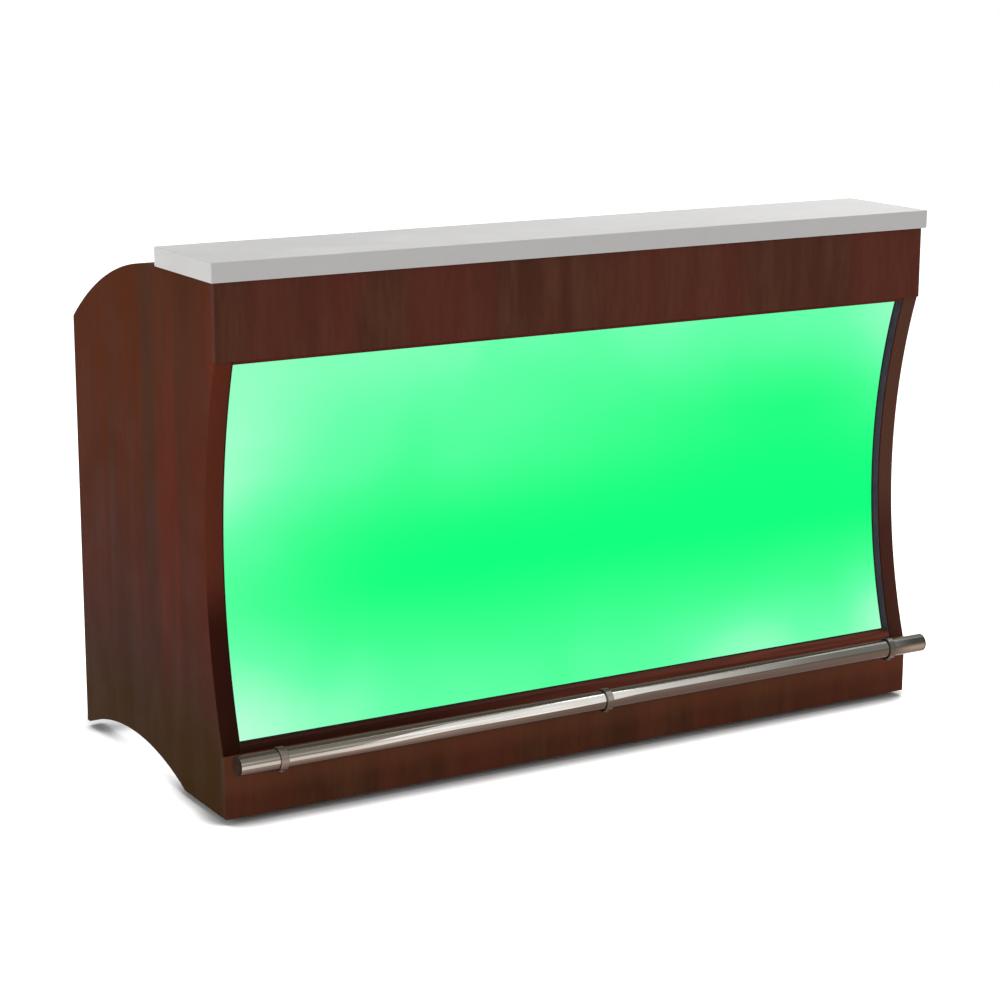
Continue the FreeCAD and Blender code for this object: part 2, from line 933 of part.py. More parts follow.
def ice_bin_insulation():
    """Foam boards round the liner, as one square box."""
    x0 = bin_x - bin_half_width
    x1 = bin_x + bin_half_width
    foam = block(
        x0 - insulation_thickness,
        x1 + insulation_thickness,
        bin_front_y - insulation_thickness,
        bin_back_y + insulation_thickness,
        bin_floor_z - insulation_thickness,
        insulation_top_z,
    )
    room = block(x0, x1, bin_front_y, bin_back_y, bin_floor_z, insulation_top_z + cut_overrun)
    return foam.cut(room).cut(drain_hole(drain_hole_radius + bin_play))


def drain_levels():
    """Heights of the pipe's foot, the valve body's foot and the elbow's middle."""
    pipe_foot = bin_floor_z - drain_pipe_length
    body_foot = pipe_foot - drain_body_length
    return pipe_foot, body_foot, body_foot - drain_elbow_radius


def drain_stem_places():
    """Height of the stem, and places along X of the boss's end, the lever's two sides and the cap."""
    pipe_foot, body_foot, _ = drain_levels()
    z = (pipe_foot + body_foot) / 2
    boss_end = bin_x + drain_body_radius + drain_boss_length
    lever_start = boss_end + lever_play
    lever_end = lever_start + lever_thickness
    cap_start = lever_end + lever_play
    return z, boss_end, lever_start, lever_end, cap_start


def drain_valve():
    """Ball valve under the bin, with an elbow that turns the outlet to the bartender's side."""
    pipe_foot, body_foot, elbow_z = drain_levels()
    floor_top = bin_floor_z + bin_wall
    flange_top = floor_top + drain_flange_thickness
    z, boss_end, _, _, cap_start = drain_stem_places()
    cap_end = cap_start + drain_cap_thickness
    elbow = (bin_x, drain_y, elbow_z)
    shoulder_y = drain_y + drain_elbow_radius
    outlet_end = shoulder_y + drain_outlet_length
    solid = rod(drain_flange_radius, (bin_x, drain_y, floor_top), (bin_x, drain_y, flange_top))
    solid = solid.fuse(rod(drain_hole_radius, (bin_x, drain_y, pipe_foot), (bin_x, drain_y, flange_top)))
    solid = solid.fuse(rod(drain_body_radius, (bin_x, drain_y, body_foot), (bin_x, drain_y, pipe_foot)))
    solid = solid.fuse(rod(drain_elbow_radius, elbow, (bin_x, drain_y, body_foot)))
    solid = solid.fuse(Part.makeSphere(drain_elbow_radius, vec(*elbow)))
    solid = solid.fuse(rod(drain_elbow_radius, elbow, (bin_x, shoulder_y, elbow_z)))
    solid = solid.fuse(rod(drain_outlet_radius, elbow, (bin_x, outlet_end, elbow_z)))
    solid = solid.fuse(rod(drain_boss_radius, (bin_x, drain_y, z), (boss_end, drain_y, z)))
    solid = solid.fuse(rod(drain_stem_radius, (bin_x, drain_y, z), (cap_start, drain_y, z)))
    solid = solid.fuse(rod(drain_cap_radius, (cap_start, drain_y, z), (cap_end, drain_y, z)))
    mouth = (bin_x, outlet_end + cut_overrun, elbow_z)
    bore = rod(drain_bore_radius, elbow, mouth)
    upper = rod(drain_bore_radius, (bin_x, drain_y, pipe_foot), (bin_x, drain_y, flange_top + cut_overrun))
    return solid.cut(bore).cut(upper).removeSplitter()


def drain_lever():
    """Lever at right angles to the pipe, which is closed."""
    z, _, x0, x1, _ = drain_stem_places()
    hub = rod(lever_hub_radius, (x0, drain_y, z), (x1, drain_y, z))
    half = lever_width / 2
    tip_y = drain_y + lever_length - half
    arm = block(x0, x1, drain_y, tip_y, z - half, z + half)
    tip = rod(half, (x0, tip_y, z), (x1, tip_y, z))
    start = (x0 - cut_overrun, drain_y, z)
    bore = rod(drain_stem_radius + pin_play, start, (x1 + cut_overrun, drain_y, z))
    return hub.fuse(arm).fuse(tip).cut(bore).removeSplitter()


def ice_bin_lid():
    x0 = bin_x - bin_half_width - bin_flange
    x1 = bin_x + bin_half_width + bin_flange
    lid = rounded_block(
        x0, x1, lid_front_y, lid_back_y, lid_bottom_z, lid_top_z, lid_corner_radius, vec(0, 0, 1)
    )
    tray = rounded_block(
        x0 + lid_tray_margin,
        x1 - lid_tray_margin,
        lid_front_y + lid_tray_margin,
        lid_back_y - lid_tray_margin,
        lid_top_z - lid_tray_depth,
        lid_top_z + cut_overrun,
        lid_corner_radius,
        vec(0, 0, 1),
    )
    return lid.cut(tray)


def lid_handle():
    """Bow handle: two feet, two posts and a round grip with ball corners."""
    y = lid_back_y - handle_inset
    z0 = lid_top_z - lid_tray_depth
    grip_z = z0 + handle_height
    half = handle_length / 2
    solid = rod(handle_radius, (bin_x - half, y, grip_z), (bin_x + half, y, grip_z))
    for side in (-1, 1):
        x = bin_x + side * half
        solid = solid.fuse(Part.makeSphere(handle_radius, vec(x, y, grip_z)))
        solid = solid.fuse(rod(handle_radius, (x, y, z0), (x, y, grip_z)))
        foot_top = z0 + handle_foot_thickness
        solid = solid.fuse(rod(handle_foot_radius, (x, y, z0), (x, y, foot_top)))
    return solid.removeSplitter()


def hinge_centres():
    return [bin_x - hinge_spacing / 2, bin_x + hinge_spacing / 2]


def knuckle_spans(x):
    """Ends of the three knuckles of one hinge along X: outer, middle and outer."""
    third = hinge_length / 3
    half = hinge_length / 2
    return [
        (x - half, x - half + third - hinge_play),
        (x - half + third, x + half - third),
        (x + half - third + hinge_play, x + half),
    ]


def hinge_rod(radius, span):
    return rod(radius, (span[0], hinge_y, hinge_z), (span[1], hinge_y, hinge_z))


def lid_hinge_leaves():
    """Fixed halves on the work top, with the hinge pins."""
    solids = []
    for x in hinge_centres():
        spans = knuckle_spans(x)
        leaf_y = hinge_y - hinge_radius - hinge_leaf_length
        half = hinge_length / 2
        leaf_top = work_height + hinge_leaf_thickness
        leaf = block(x - half, x + half, leaf_y, hinge_y, work_height, leaf_top)
        solid = leaf.fuse(hinge_rod(hinge_pin_radius, (x - half, x + half)))
        for span in (spans[0], spans[2]):
            solid = solid.fuse(hinge_rod(hinge_radius, span))
            web = block(span[0], span[1], hinge_y - hinge_radius, hinge_y, work_height, hinge_z)
            solid = solid.fuse(web)
        solids.append(solid.removeSplitter())
    return Part.makeCompound(solids)


def lid_hinge_knuckles():
    """Moving halves: a leaf on the lid's edge and the middle knuckle round the pin."""
    solids = []
    for x in hinge_centres():
        span = knuckle_spans(x)[1]
        half = hinge_length / 2
        leaf_y = lid_front_y - hinge_leaf_thickness
        leaf_top = hinge_z + hinge_radius
        solid = hinge_rod(hinge_radius, span)
        web = block(span[0], span[1], hinge_y, lid_front_y, hinge_z, leaf_top)
        leaf = block(x - half, x + half, leaf_y, lid_front_y, lid_bottom_z, leaf_top)
        solid = solid.fuse(web).fuse(leaf)
        bore_span = (span[0] - cut_overrun, span[1] + cut_overrun)
        solid = solid.cut(hinge_rod(hinge_pin_radius + pin_play, bore_span))
        solids.append(solid.removeSplitter())
    return Part.makeCompound(solids)


# Foot rail

def foot_rail_tube():
    half = rail_half_length - rail_cap_thickness
    outside = rod(rail_radius, (-half, rail_y, rail_z), (half, rail_y, rail_z))
    end = half + cut_overrun
    return outside.cut(rod(rail_radius - rail_wall, (-end, rail_y, rail_z), (end, rail_y, rail_z)))


def foot_rail_caps():
    caps = []
    spigot_radius = rail_radius - rail_wall - rail_play
    for side in (-1, 1):
        outer_x = side * rail_half_length
        seat_x = side * (rail_half_length - rail_cap_thickness)
        inner_x = side * (rail_half_length - rail_cap_thickness - rail_cap_spigot)
        disc = rod(rail_radius, (seat_x, rail_y, rail_z), (outer_x, rail_y, rail_z))
        rim = [e for e in disc.Edges if abs(e.CenterOfMass.x - outer_x) < rail_cap_chamfer]
        rim = [e for e in rim if e.Closed]
        disc = disc.makeChamfer(rail_cap_chamfer, rim)
        caps.append(disc.fuse(rod(spigot_radius, (inner_x, rail_y, rail_z), (seat_x, rail_y, rail_z))))
    return Part.makeCompound(caps)


def chamfered_rod(radius, start, end, chamfer, ends):
    """A rod with its round edges chamfered; ends lists the end points whose edge is cut."""
    solid = rod(radius, start, end)
    rims = []
    for edge in solid.Edges:
        if edge.Closed and any((edge.CenterOfMass - vec(*point)).Length < chamfer for point in ends):
            rims.append(edge)
    return solid.makeChamfer(chamfer, rims)


def rail_bracket(x):
    """Wall flange, arm and collar, cast in one piece."""
    start = (x, front_y, arm_z)
    face = (x, front_y - rail_flange_thickness, arm_z)
    bracket = chamfered_rod(rail_flange_radius, start, face, rail_flange_chamfer, [face])
    bracket = bracket.fuse(rod(arm_radius, start, (x, rail_y, arm_z)))
    bracket = bracket.fuse(Part.makeSphere(arm_radius, vec(x, rail_y, arm_z)))
    half = collar_width / 2
    left = (x - half, rail_y, rail_z)
    right = (x + half, rail_y, rail_z)
    bracket = bracket.fuse(chamfered_rod(collar_radius, left, right, collar_chamfer, [left, right]))
    bore_half = half + cut_overrun
    bore_start = (x - bore_half, rail_y, rail_z)
    bore = rod(rail_radius + rail_play, bore_start, (x + bore_half, rail_y, rail_z))
    bracket = bracket.cut(bore)
    for place in flange_screw_places(x):
        bracket = bracket.cut(screw_shank(*place))
    return bracket.removeSplitter()


def rail_bracket_screws():
    screws = []
    start = screw_start_y()
    for x in bracket_places().values():
        for hole_x, hole_z in flange_screw_places(x):
            head_end = (hole_x, start - rail_screw_head_height, hole_z)
            head = rod(rail_screw_head_radius, (hole_x, start, hole_z), head_end)
            screws.append(head.fuse(screw_shank(hole_x, hole_z)))
    return Part.makeCompound(screws)


# Casters, each made round its kingpin's axis

def caster_plate(x, y):
    half = plate_size / 2
    z0 = caster_height - plate_thickness
    plate = rounded_block(
        x - half, x + half, y - half, y + half, z0, caster_height, plate_corner_radius, vec(0, 0, 1)
    )
    race = revolved(
        [
            vec(x, y, z0),
            vec(x + raceway_radius - raceway_dish, y, z0),
            vec(x + raceway_radius, y, z0 - raceway_dish),
            vec(x + raceway_radius, y, raceway_bottom_z),
            vec(x, y, raceway_bottom_z),
        ],
        vec(x, y, 0),
        vec(0, 0, 1),
    )
    head_top = crown_bottom_z - swivel_gap
    head_bottom = head_top - kingpin_head_height
    plate = plate.fuse(race)
    plate = plate.fuse(rod(kingpin_radius, (x, y, head_bottom), (x, y, z0)))
    plate = plate.fuse(rod(kingpin_head_radius, (x, y, head_bottom), (x, y, head_top)))
    for hole_x, hole_y in plate_hole_places(x, y):
        start = (hole_x, hole_y, z0 - cut_overrun)
        plate = plate.cut(rod(bolt_radius, start, (hole_x, hole_y, caster_height + cut_overrun)))
    return plate.removeSplitter()


def tangent_points(centre, radius, point, side):
    """Where a line from a point touches a circle, on one side of it."""
    dy = point[0] - centre[0]
    dz = point[1] - centre[1]
    angle = math.atan2(dz, dy) + side * math.acos(radius / math.hypot(dy, dz))
    return (centre[0] + radius * math.cos(angle), centre[1] + radius * math.sin(angle))


def leg_outline(y, braked):
    """Leg of the fork, from the crown down to the boss round the axle."""
    axle = (y + caster_trail, wheel_radius)
    front_top = (y - leg_top_half_width, crown_bottom_z)
    rear_top = (y + leg_top_half_width, crown_bottom_z)
    front_touch = tangent_points(axle, leg_boss_radius, front_top, 1)
    low = (axle[0], axle[1] - leg_boss_radius)
    edges = [line(rear_top, front_top), line(front_top, front_touch)]
    if not braked:
        rear_touch = tangent_points(axle, leg_boss_radius, rear_top, -1)
        return edges + [arc(front_touch, low, rear_touch), line(rear_touch, rear_top)]
    ear = (axle[0] + brake_pivot_y, axle[1] + brake_pivot_z)
    ear_touch = (ear[0] + ear_radius, ear[1])
    rear_touch = tangent_points(axle, leg_boss_radius, ear_touch, -1)
    ear_top = (ear[0], ear[1] + ear_radius)
    bend = ear_radius * math.cos(math.radians(quarter_turn / 2))
    ear_mid = (ear[0] + bend, ear[1] + bend)
    return edges + [
        arc(front_touch, low, rear_touch),
        line(rear_touch, ear_touch),
        arc(ear_touch, ear_mid, ear_top),
        line(ear_top, rear_top),
    ]


def caster_fork(x, y, braked):
    crown = rod(crown_radius, (x, y, crown_bottom_z), (x, y, crown_top_z))
    reach = y + leg_top_half_width
    start_y = y - leg_top_half_width
    bridge = block(x - leg_outer, x + leg_outer, start_y, reach, crown_bottom_z, crown_top_z)
    fork = crown.fuse(bridge)
    for side in (-1, 1):
        x0, x1 = sorted((x + side * leg_gap / 2, x + side * leg_outer))
        fork = fork.fuse(prism(leg_outline(y, braked), x0, x1))
    top = (x, y, crown_top_z + cut_overrun)
    fork = fork.cut(rod(kingpin_radius + pin_play, (x, y, crown_bottom_z - cut_overrun), top))
    hole_end = leg_outer + cut_overrun
    axle_y = y + caster_trail
    start = (x - hole_end, axle_y, wheel_radius)
    fork = fork.cut(rod(axle_radius, start, (x + hole_end, axle_y, wheel_radius)))
    if braked:
        pin_y = axle_y + brake_pivot_y
        pin_z = wheel_radius + brake_pivot_z
        fork = fork.fuse(rod(brake_pin_radius, (x - leg_outer, pin_y, pin_z), (x + leg_outer, pin_y, pin_z)))
    return fork.removeSplitter()


def caster_wheel(x, y):
    """Chamfered tread, dished web and hub, turned round the axle."""
    half = wheel_width / 2
    half_hub = hub_length / 2
    web = half - rim_recess
    places = [(half_hub, axle_radius + axle_play), (half_hub, hub_radius), (web, hub_radius)]
    places += [(web, rim_radius), (half, rim_radius), (half, wheel_radius - tread_chamfer)]
    places += [(half - tread_chamfer, wheel_radius)]
    mirrored = [(-across, radius) for across, radius in reversed(places)]
    centre_y = y + caster_trail
    points = [vec(x + across, centre_y, wheel_radius + radius) for across, radius in places + mirrored]
    return revolved(points, vec(x, centre_y, wheel_radius), vec(1, 0, 0))


def hex_rod(radius, start, end):
    """Hexagonal head or nut between two points; its width across corners is twice the radius."""
    run = vec(*end) - vec(*start)
    outline = Part.makeCircle(radius, vec(*start), run)
    corners = outline.discretize(hexagon_corners + 1)
    return Part.Face(Part.makePolygon(corners)).extrude(run)


def caster_axle(x, y):
    axle_y = y + caster_trail
    left = (x - leg_outer, axle_y, wheel_radius)
    right = (x + leg_outer, axle_y, wheel_radius)
    end = leg_outer + axle_head_height
    axle = rod(axle_radius, left, right)
    head = hex_rod(axle_head_radius, (x - end, axle_y, wheel_radius), left)
    nut = hex_rod(axle_head_radius, right, (x + end, axle_y, wheel_radius))
    return axle.fuse(head).fuse(nut)


def brake_pedal(x, y):
    """Pedal pressed down, with an eccentric cam that bears on the tread."""
    pin_y = y + caster_trail + brake_pivot_y
    pin_z = wheel_radius + brake_pivot_z
    cam_y = pin_y - cam_offset * math.cos(math.radians(brake_pivot_angle))
    cam_z = pin_z - cam_offset * math.sin(math.radians(brake_pivot_angle))
    half = leg_gap / 2 - pedal_end_play
    cam = rod(cam_radius, (x - half, cam_y, cam_z), (x + half, cam_y, cam_z))
    plate = block(x - half, x + half, pin_y, pin_y + pedal_length, pin_z, pin_z + pedal_thickness)
    tip = [e for e in edges_along(plate, vec(0, 0, 1)) if e.CenterOfMass.y > pin_y + pedal_length / 2]
    plate = plate.makeFillet(pedal_tip_radius, tip)
    plate.rotate(vec(x, pin_y, pin_z), vec(1, 0, 0), -pedal_slope)
    bore_half = half + cut_overrun
    bore = rod(brake_pin_radius + pin_play, (x - bore_half, pin_y, pin_z), (x + bore_half, pin_y, pin_z))
    return cam.fuse(plate).cut(bore).removeSplitter()


def caster_bolts():
    bolts = []
    seat_z = caster_height - plate_thickness
    for x, y in caster_places().values():
        for hole_x, hole_y in plate_hole_places(x, y):
            seat = (hole_x, hole_y, seat_z)
            shank = rod(bolt_radius, seat, (hole_x, hole_y, seat_z + bolt_length))
            head = hex_rod(bolt_head_radius, (hole_x, hole_y, seat_z - bolt_head_height), seat)
            bolts.append(head.fuse(shank))
    return Part.makeCompound(bolts)


def main():
    os.makedirs("parts", exist_ok=True)

    save("side_panel_left", side_panel(-1))
    save("side_panel_right", side_panel(1))
    save("fascia_board", fascia_board())
    save("kick_board", kick_board())
    save("base_deck", base_deck())
    save("inner_wall", inner_wall())
    save("centre_divider", centre_divider())
    save("storage_shelf", storage_shelf())
    save("shelf_pins", shelf_pins())
    save("counter_slab", counter_slab())
    save("counter_cleats", counter_cleats())

    save("light_panel", light_panel())
    save("panel_bead_upper", panel_bead(fascia_bottom_z - upper_bead_height, fascia_bottom_z))
    save("panel_bead_lower", panel_bead(kick_top_z, kick_top_z + lower_bead_height))
    save("light_box_top", light_box_top())
    save("light_strips", light_strips())
    save("strip_lead", strip_lead())
    save("driver_housing", driver_housing())
    save("switch_bezel", switch_bezel())
    save("switch_rocker", switch_rocker())
    save("power_inlet", power_inlet())
    save("driver_screws", driver_screws())

    save("work_top_board", work_top_board())
    save("work_top_apron", work_top_apron())
    save("work_top_battens", work_top_battens())
    save("work_top_skin", work_top_skin())
    save("bottle_rail", bottle_rail())
    save("ice_bin_liner", ice_bin_liner())
    save("ice_bin_insulation", ice_bin_insulation())
    save("ice_bin_lid", ice_bin_lid())
    save("lid_handle", lid_handle())
    save("lid_hinge_leaves", lid_hinge_leaves())
    save("lid_hinge_knuckles", lid_hinge_knuckles())
    save("drain_valve", drain_valve())
    save("drain_lever", drain_lever())

    save("foot_rail_tube", foot_rail_tube())
    save("foot_rail_caps", foot_rail_caps())
    for name, x in bracket_places().items():
        save("rail_bracket_" + name, rail_bracket(x))
    save("rail_bracket_screws", rail_bracket_screws())

    for name, (x, y) in caster_places().items():
        braked = name.startswith("rear")
        save("caster_plate_" + name, caster_plate(x, y))
        save("caster_fork_" + name, caster_fork(x, y, braked))
        save("caster_wheel_" + name, caster_wheel(x, y))
        save("caster_axle_" + name, caster_axle(x, y))
        if braked:
            save("brake_pedal_" + name, brake_pedal(x, y))
    save("caster_bolts", caster_bolts())


main()
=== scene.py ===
"""Portable bar with a lit, concave front: the finishes and small trim round its construction model."""
import math

import bmesh
import bpy
from bpy.props import FloatProperty, FloatVectorProperty, PointerProperty
from bpy.types import Operator, Panel, PropertyGroup
from mathutils import Matrix, Vector


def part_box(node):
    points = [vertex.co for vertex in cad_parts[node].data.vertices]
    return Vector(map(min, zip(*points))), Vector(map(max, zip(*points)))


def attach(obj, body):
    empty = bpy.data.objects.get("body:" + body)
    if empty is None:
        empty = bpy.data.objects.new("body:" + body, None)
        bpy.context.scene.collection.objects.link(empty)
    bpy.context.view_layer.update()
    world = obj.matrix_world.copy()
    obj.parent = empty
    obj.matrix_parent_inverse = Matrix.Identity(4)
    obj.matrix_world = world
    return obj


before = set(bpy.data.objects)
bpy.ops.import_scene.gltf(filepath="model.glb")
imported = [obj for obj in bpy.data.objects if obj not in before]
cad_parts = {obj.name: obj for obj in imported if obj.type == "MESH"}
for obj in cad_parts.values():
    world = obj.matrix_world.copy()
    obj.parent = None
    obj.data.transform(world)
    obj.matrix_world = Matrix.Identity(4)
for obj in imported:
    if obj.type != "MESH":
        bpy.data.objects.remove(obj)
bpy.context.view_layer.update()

bl_info = {
    "name": "Portable bar",
    "version": (1, 0, 0),
    "blender": (4, 5, 0),
    "location": "3D View > Sidebar > Portable bar",
    "description": "Dresses a portable bar with a lit front in its finishes, trim and studio",
    "category": "Object",
}

# Sizes that the finishes follow, in metres, read from the pieces themselves
lower_bead_low, lower_bead_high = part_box("panel_bead_lower")
upper_bead_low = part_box("panel_bead_upper")[0]
side_low, side_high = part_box("side_panel_right")
kick_low, kick_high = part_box("kick_board")
fascia_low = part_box("fascia_board")[0]
rail_low, rail_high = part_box("foot_rail_tube")

# The concave front is an arc between the kick board and the fascia, and the light panel stands behind it
front_sagitta = 0.061
panel_recess = 0.020
front_foot_z = kick_high.z
front_head_z = fascia_low.z
front_mid_z = (front_foot_z + front_head_z) / 2
front_half_chord = (front_head_z - front_foot_z) / 2
front_radius = (front_half_chord ** 2 + front_sagitta ** 2) / (2 * front_sagitta)
front_centre_y = lower_bead_low.y + front_sagitta - front_radius
panel_face_radius = front_radius + panel_recess
opening_half = side_low.x

rail_axis = Vector((0, (rail_low.y + rail_high.y) / 2, (rail_low.z + rail_high.z) / 2))

full_turn = 2 * math.pi


def tone(red, green, blue):
    """A colour as the eye reads it, 0 to 255, turned into the light values that a shader takes."""
    light = []
    for value in (red, green, blue):
        share = value / 255
        light.append(share / 12.92 if share <= 0.04045 else ((share + 0.055) / 1.055) ** 2.4)
    return (*light, 1.0)


def colour_property(label, description, default):
    return FloatVectorProperty(
        name=label, description=description, default=default, subtype="COLOR", size=4, min=0.0, max=1.0
    )


def length_property(label, description, default):
    return FloatProperty(name=label, description=description, default=default, unit="LENGTH", min=0.0)


def power_property(label, description, default):
    return FloatProperty(name=label, description=description, default=default, unit="POWER", min=0.0)


class BarFinishSettings(PropertyGroup):
    """Colours of the bar's materials."""

    side_deep: colour_property("Side, deep", "Darkest streaks of the side panels", tone(64, 37, 16))
    side_pale: colour_property("Side, pale", "Amber-brown streaks of the side panels", tone(79, 45, 20))
    side_red: colour_property("Side, red", "Red-brown streaks near the front edge", tone(112, 42, 26))
    side_dusk: colour_property("Side, dusk", "Plum-brown of the sides below the middle", tone(62, 41, 37))
    side_foot: colour_property("Side, foot", "Olive-brown of the side panels at the foot", tone(62, 42, 16))
    stile_red: colour_property("Stile, red", "Red-brown of the front edges above the foot", tone(108, 54, 39))
    # Painted shade: the front edges darken at the foot
    stile_shaded_foot: colour_property("Stile, shaded foot", "Painted shade of the front edges at the foot", tone(44, 16, 12))
    front_deep: colour_property("Fascia, deep", "Darkest streaks of the fascia", tone(83, 47, 35))
    front_pale: colour_property("Fascia, pale", "Paler streaks of the fascia", tone(100, 62, 47))
    front_red: colour_property("Fascia, red", "Red streaks of the fascia", tone(108, 52, 43))
    kick_deep: colour_property("Kick, deep", "Darkest streaks of the kick board", tone(80, 46, 30))
    kick_pale: colour_property("Kick, pale", "Paler streaks of the kick board", tone(97, 60, 40))
    kick_red: colour_property("Kick, red", "Red streaks of the kick board", tone(106, 50, 36))
    bead_tone: colour_property("Beads", "Stained beads that hold the light panel", tone(106, 48, 37))
    board_deep: colour_property("Boards, deep", "Darkest streaks of the inner boards", tone(58, 46, 40))
    board_pale: colour_property("Boards, pale", "Paler streaks of the inner boards", tone(84, 66, 56))
    counter_grey: colour_property("Counter", "Solid surface of the counter", tone(214, 213, 211))
    glow_core: colour_property("Glow, core", "Lit panel where it is deepest", tone(12, 255, 126))
    glow_mid: colour_property("Glow, middle", "Lit panel between its deepest and palest", tone(104, 255, 172))
    glow_pale: colour_property("Glow, pale", "Lit panel where it is palest", tone(192, 253, 222))
    channel_tone: colour_property("Channel", "Slate channel beside the light panel", tone(66, 70, 82))
    work_steel: colour_property("Work steel", "Brushed sheet of the work top", tone(190, 191, 192))
    # Painted light on the foot rail: a painted highlight band, a painted grey reflection on top and a painted
    # brown reflection below
    rail_highlight: colour_property("Rail, highlight", "Painted highlight band of the foot rail", tone(226, 222, 216))
    rail_top_reflection: colour_property("Rail, top reflection", "Painted grey reflection on top of the foot rail", tone(114, 108, 98))
    rail_under_reflection: colour_property("Rail, under reflection", "Painted brown reflection on the rail's lower half", tone(122, 103, 89))
    zinc: colour_property("Zinc", "Plating of casters and bolts", tone(176, 180, 184))
    tyre: colour_property("Tyre", "Treads of the casters", tone(44, 44, 46))
    wheel_core: colour_property("Wheel core", "Moulded cores of the casters", tone(96, 98, 102))
    driver_grey: colour_property("Driver", "Anodised housing of the driver", tone(176, 178, 180))
    black_moulding: colour_property("Moulding", "Switch, bezel and power inlet", tone(34, 34, 36))
    lever_red: colour_property("Lever", "Coating of the drain lever", tone(164, 34, 30))


class BarTrimSettings(PropertyGroup):
    """Sizes of the trim that is added to the bar."""

    board_ease: length_property("Board edge", "Easing of the boards' edges", 0.0008)
    counter_ease: length_property("Counter edge", "Easing of the counter's edges", 0.0012)
    strip_width: length_property("Glazing strip", "Height of the strip round the light panel", 0.0024)
    strip_rise: length_property("Strip rise", "How far the strip stands off the panel", 0.0016)
    channel_thickness: length_property("Channel", "Thickness of the channel in the side panels", 0.0008)
    set_screw_radius: length_property("Set screw", "Radius of the collars' set screws", 0.0028)
    mark_height: length_property("Switch marks", "Height of the marks on the light switch", 0.0042)
    wood_screw_radius: length_property("Wood screw", "Head radius of the bottle rail's screws", 0.0042)
    hinge_screw_radius: length_property("Hinge screw", "Head radius of the lid hinges' screws", 0.0028)
    sealant_width: length_property("Sealant", "Width of the bead round the work top", 0.0030)
    nut_height: length_property("Lock nut", "Height of the nut that holds the drain", 0.0080)
    barb_rise: length_property("Hose barb", "How far the barbs stand off the drain outlet", 0.0011)
    sleeve_wall: length_property("Lever sleeve", "Wall of the sleeve on the drain lever", 0.0012)


class BarStudioSettings(PropertyGroup):
    """Stage, lamps and camera."""

    lens: FloatProperty(name="Lens", description="Focal length of the camera", default=91.4, unit="CAMERA")
    ambient: FloatProperty(name="Ambient", description="Light of the white room on the object", default=0.46)
    side_lamp: power_property("Side lamp", "Lamp on the left", 55.0)
    front_lamp: power_property("Front lamp", "Lamp in front", 22.0)
    top_lamp: power_property("Top lamp", "Lamp above the right end", 60.0)
    floor_reach: length_property("Floor", "Half width of the floor", 14.0)


class Wiring:
    """Places shader nodes in one tree and links them as they come."""

    def __init__(self, tree):
        self.tree = tree

    def feed(self, socket, value):
        if isinstance(value, bpy.types.NodeSocket):
            self.tree.links.new(value, socket)
        else:
            socket.default_value = value

    def node(self, kind, inputs=None, **settings):
        made = self.tree.nodes.new(kind)
        for name, value in settings.items():
            setattr(made, name, value)
        for key, value in (inputs or {}).items():
            self.feed(made.inputs[key], value)
        return made

    def sums(self, operation, first, second=0.0, clamp=False):
        made = self.node("ShaderNodeMath", {0: first, 1: second}, operation=operation, use_clamp=clamp)
        return made.outputs[0]

    def plus(self, first, second):
        return self.sums("ADD", first, second)

    def minus(self, first, second):
        return self.sums("SUBTRACT", first, second)

    def times(self, first, second, clamp=False):
        return self.sums("MULTIPLY", first, second, clamp)

    def squared_distance(self, first, second, centre, reaches=(1.0, 1.0)):
        """Squared distance from a centre in two directions, each measured in its own reach."""
        squares = []
        for value, middle, reach in zip((first, second), centre, reaches):
            offset = self.sums("DIVIDE", self.minus(value, middle), reach)
            squares.append(self.times(offset, offset))
        return self.plus(*squares)

    def vector(self, operation, first, second):
        made = self.node("ShaderNodeVectorMath", {0: first, 1: second}, operation=operation)
        return made.outputs["Value" if operation == "DOT_PRODUCT" else "Vector"]

    def span(self, value, low, high, to_low=0.0, to_high=1.0):
        """Maps low..high to to_low..to_high with soft ends."""
        keys = {"Value": value, "From Min": low, "From Max": high, "To Min": to_low, "To Max": to_high}
        return self.node("ShaderNodeMapRange", keys, interpolation_type="SMOOTHSTEP").outputs["Result"]

    def noise(self, vector, scale, detail=2.0, roughness=0.5, distortion=0.0):
        keys = {"Vector": vector, "Scale": scale, "Detail": detail}
        keys.update({"Roughness": roughness, "Distortion": distortion})
        return self.node("ShaderNodeTexNoise", keys).outputs["Fac"]

    def blend(self, share, first, second, how="MIX"):
        made = self.node("ShaderNodeMix", data_type="RGBA", blend_type=how)
        for index, value in ((0, share), (6, first), (7, second)):
            self.feed(made.inputs[index], value)
        return made.outputs[2]

    def place(self):
        """Coordinates in metres that stay with the piece."""
        return self.node("ShaderNodeTexCoord").outputs["Object"]

    def axes(self, vector):
        return self.node("ShaderNodeSeparateXYZ", {0: vector}).outputs

    def facing(self):
        """Direction of the surface, along the piece's own axes."""
        return self.axes(self.node("ShaderNodeTexCoord").outputs["Normal"])

    def group(self, tree, **inputs):
        made = self.node("ShaderNodeGroup", node_tree=tree)
        for name, value in inputs.items():
            self.feed(made.inputs[name.replace("_", " ")], value)
        return made.outputs

    def bump(self, height, depth, strength=1.0):
        keys = {"Height": height, "Distance": depth, "Strength": strength}
        return self.node("ShaderNodeBump", keys).outputs["Normal"]


def shader_group(name, inputs, outputs):
    """A new group with its named sockets; returns its wiring, what comes in and what goes out."""
    tree = bpy.data.node_groups.new(name, "ShaderNodeTree")
    for label, kind, default in inputs:
        socket = tree.interface.new_socket(label, in_out="INPUT", socket_type=kind)
        if default is not None:
            socket.default_value = default
    for label, kind in outputs:
        tree.interface.new_socket(label, in_out="OUTPUT", socket_type=kind)
    entry = tree.nodes.new("NodeGroupInput")
    result = tree.nodes.new("NodeGroupOutput")
    return Wiring(tree), entry.outputs, result.inputs


FLOAT, COLOUR, VECTOR = "NodeSocketFloat", "NodeSocketColor", "NodeSocketVector"


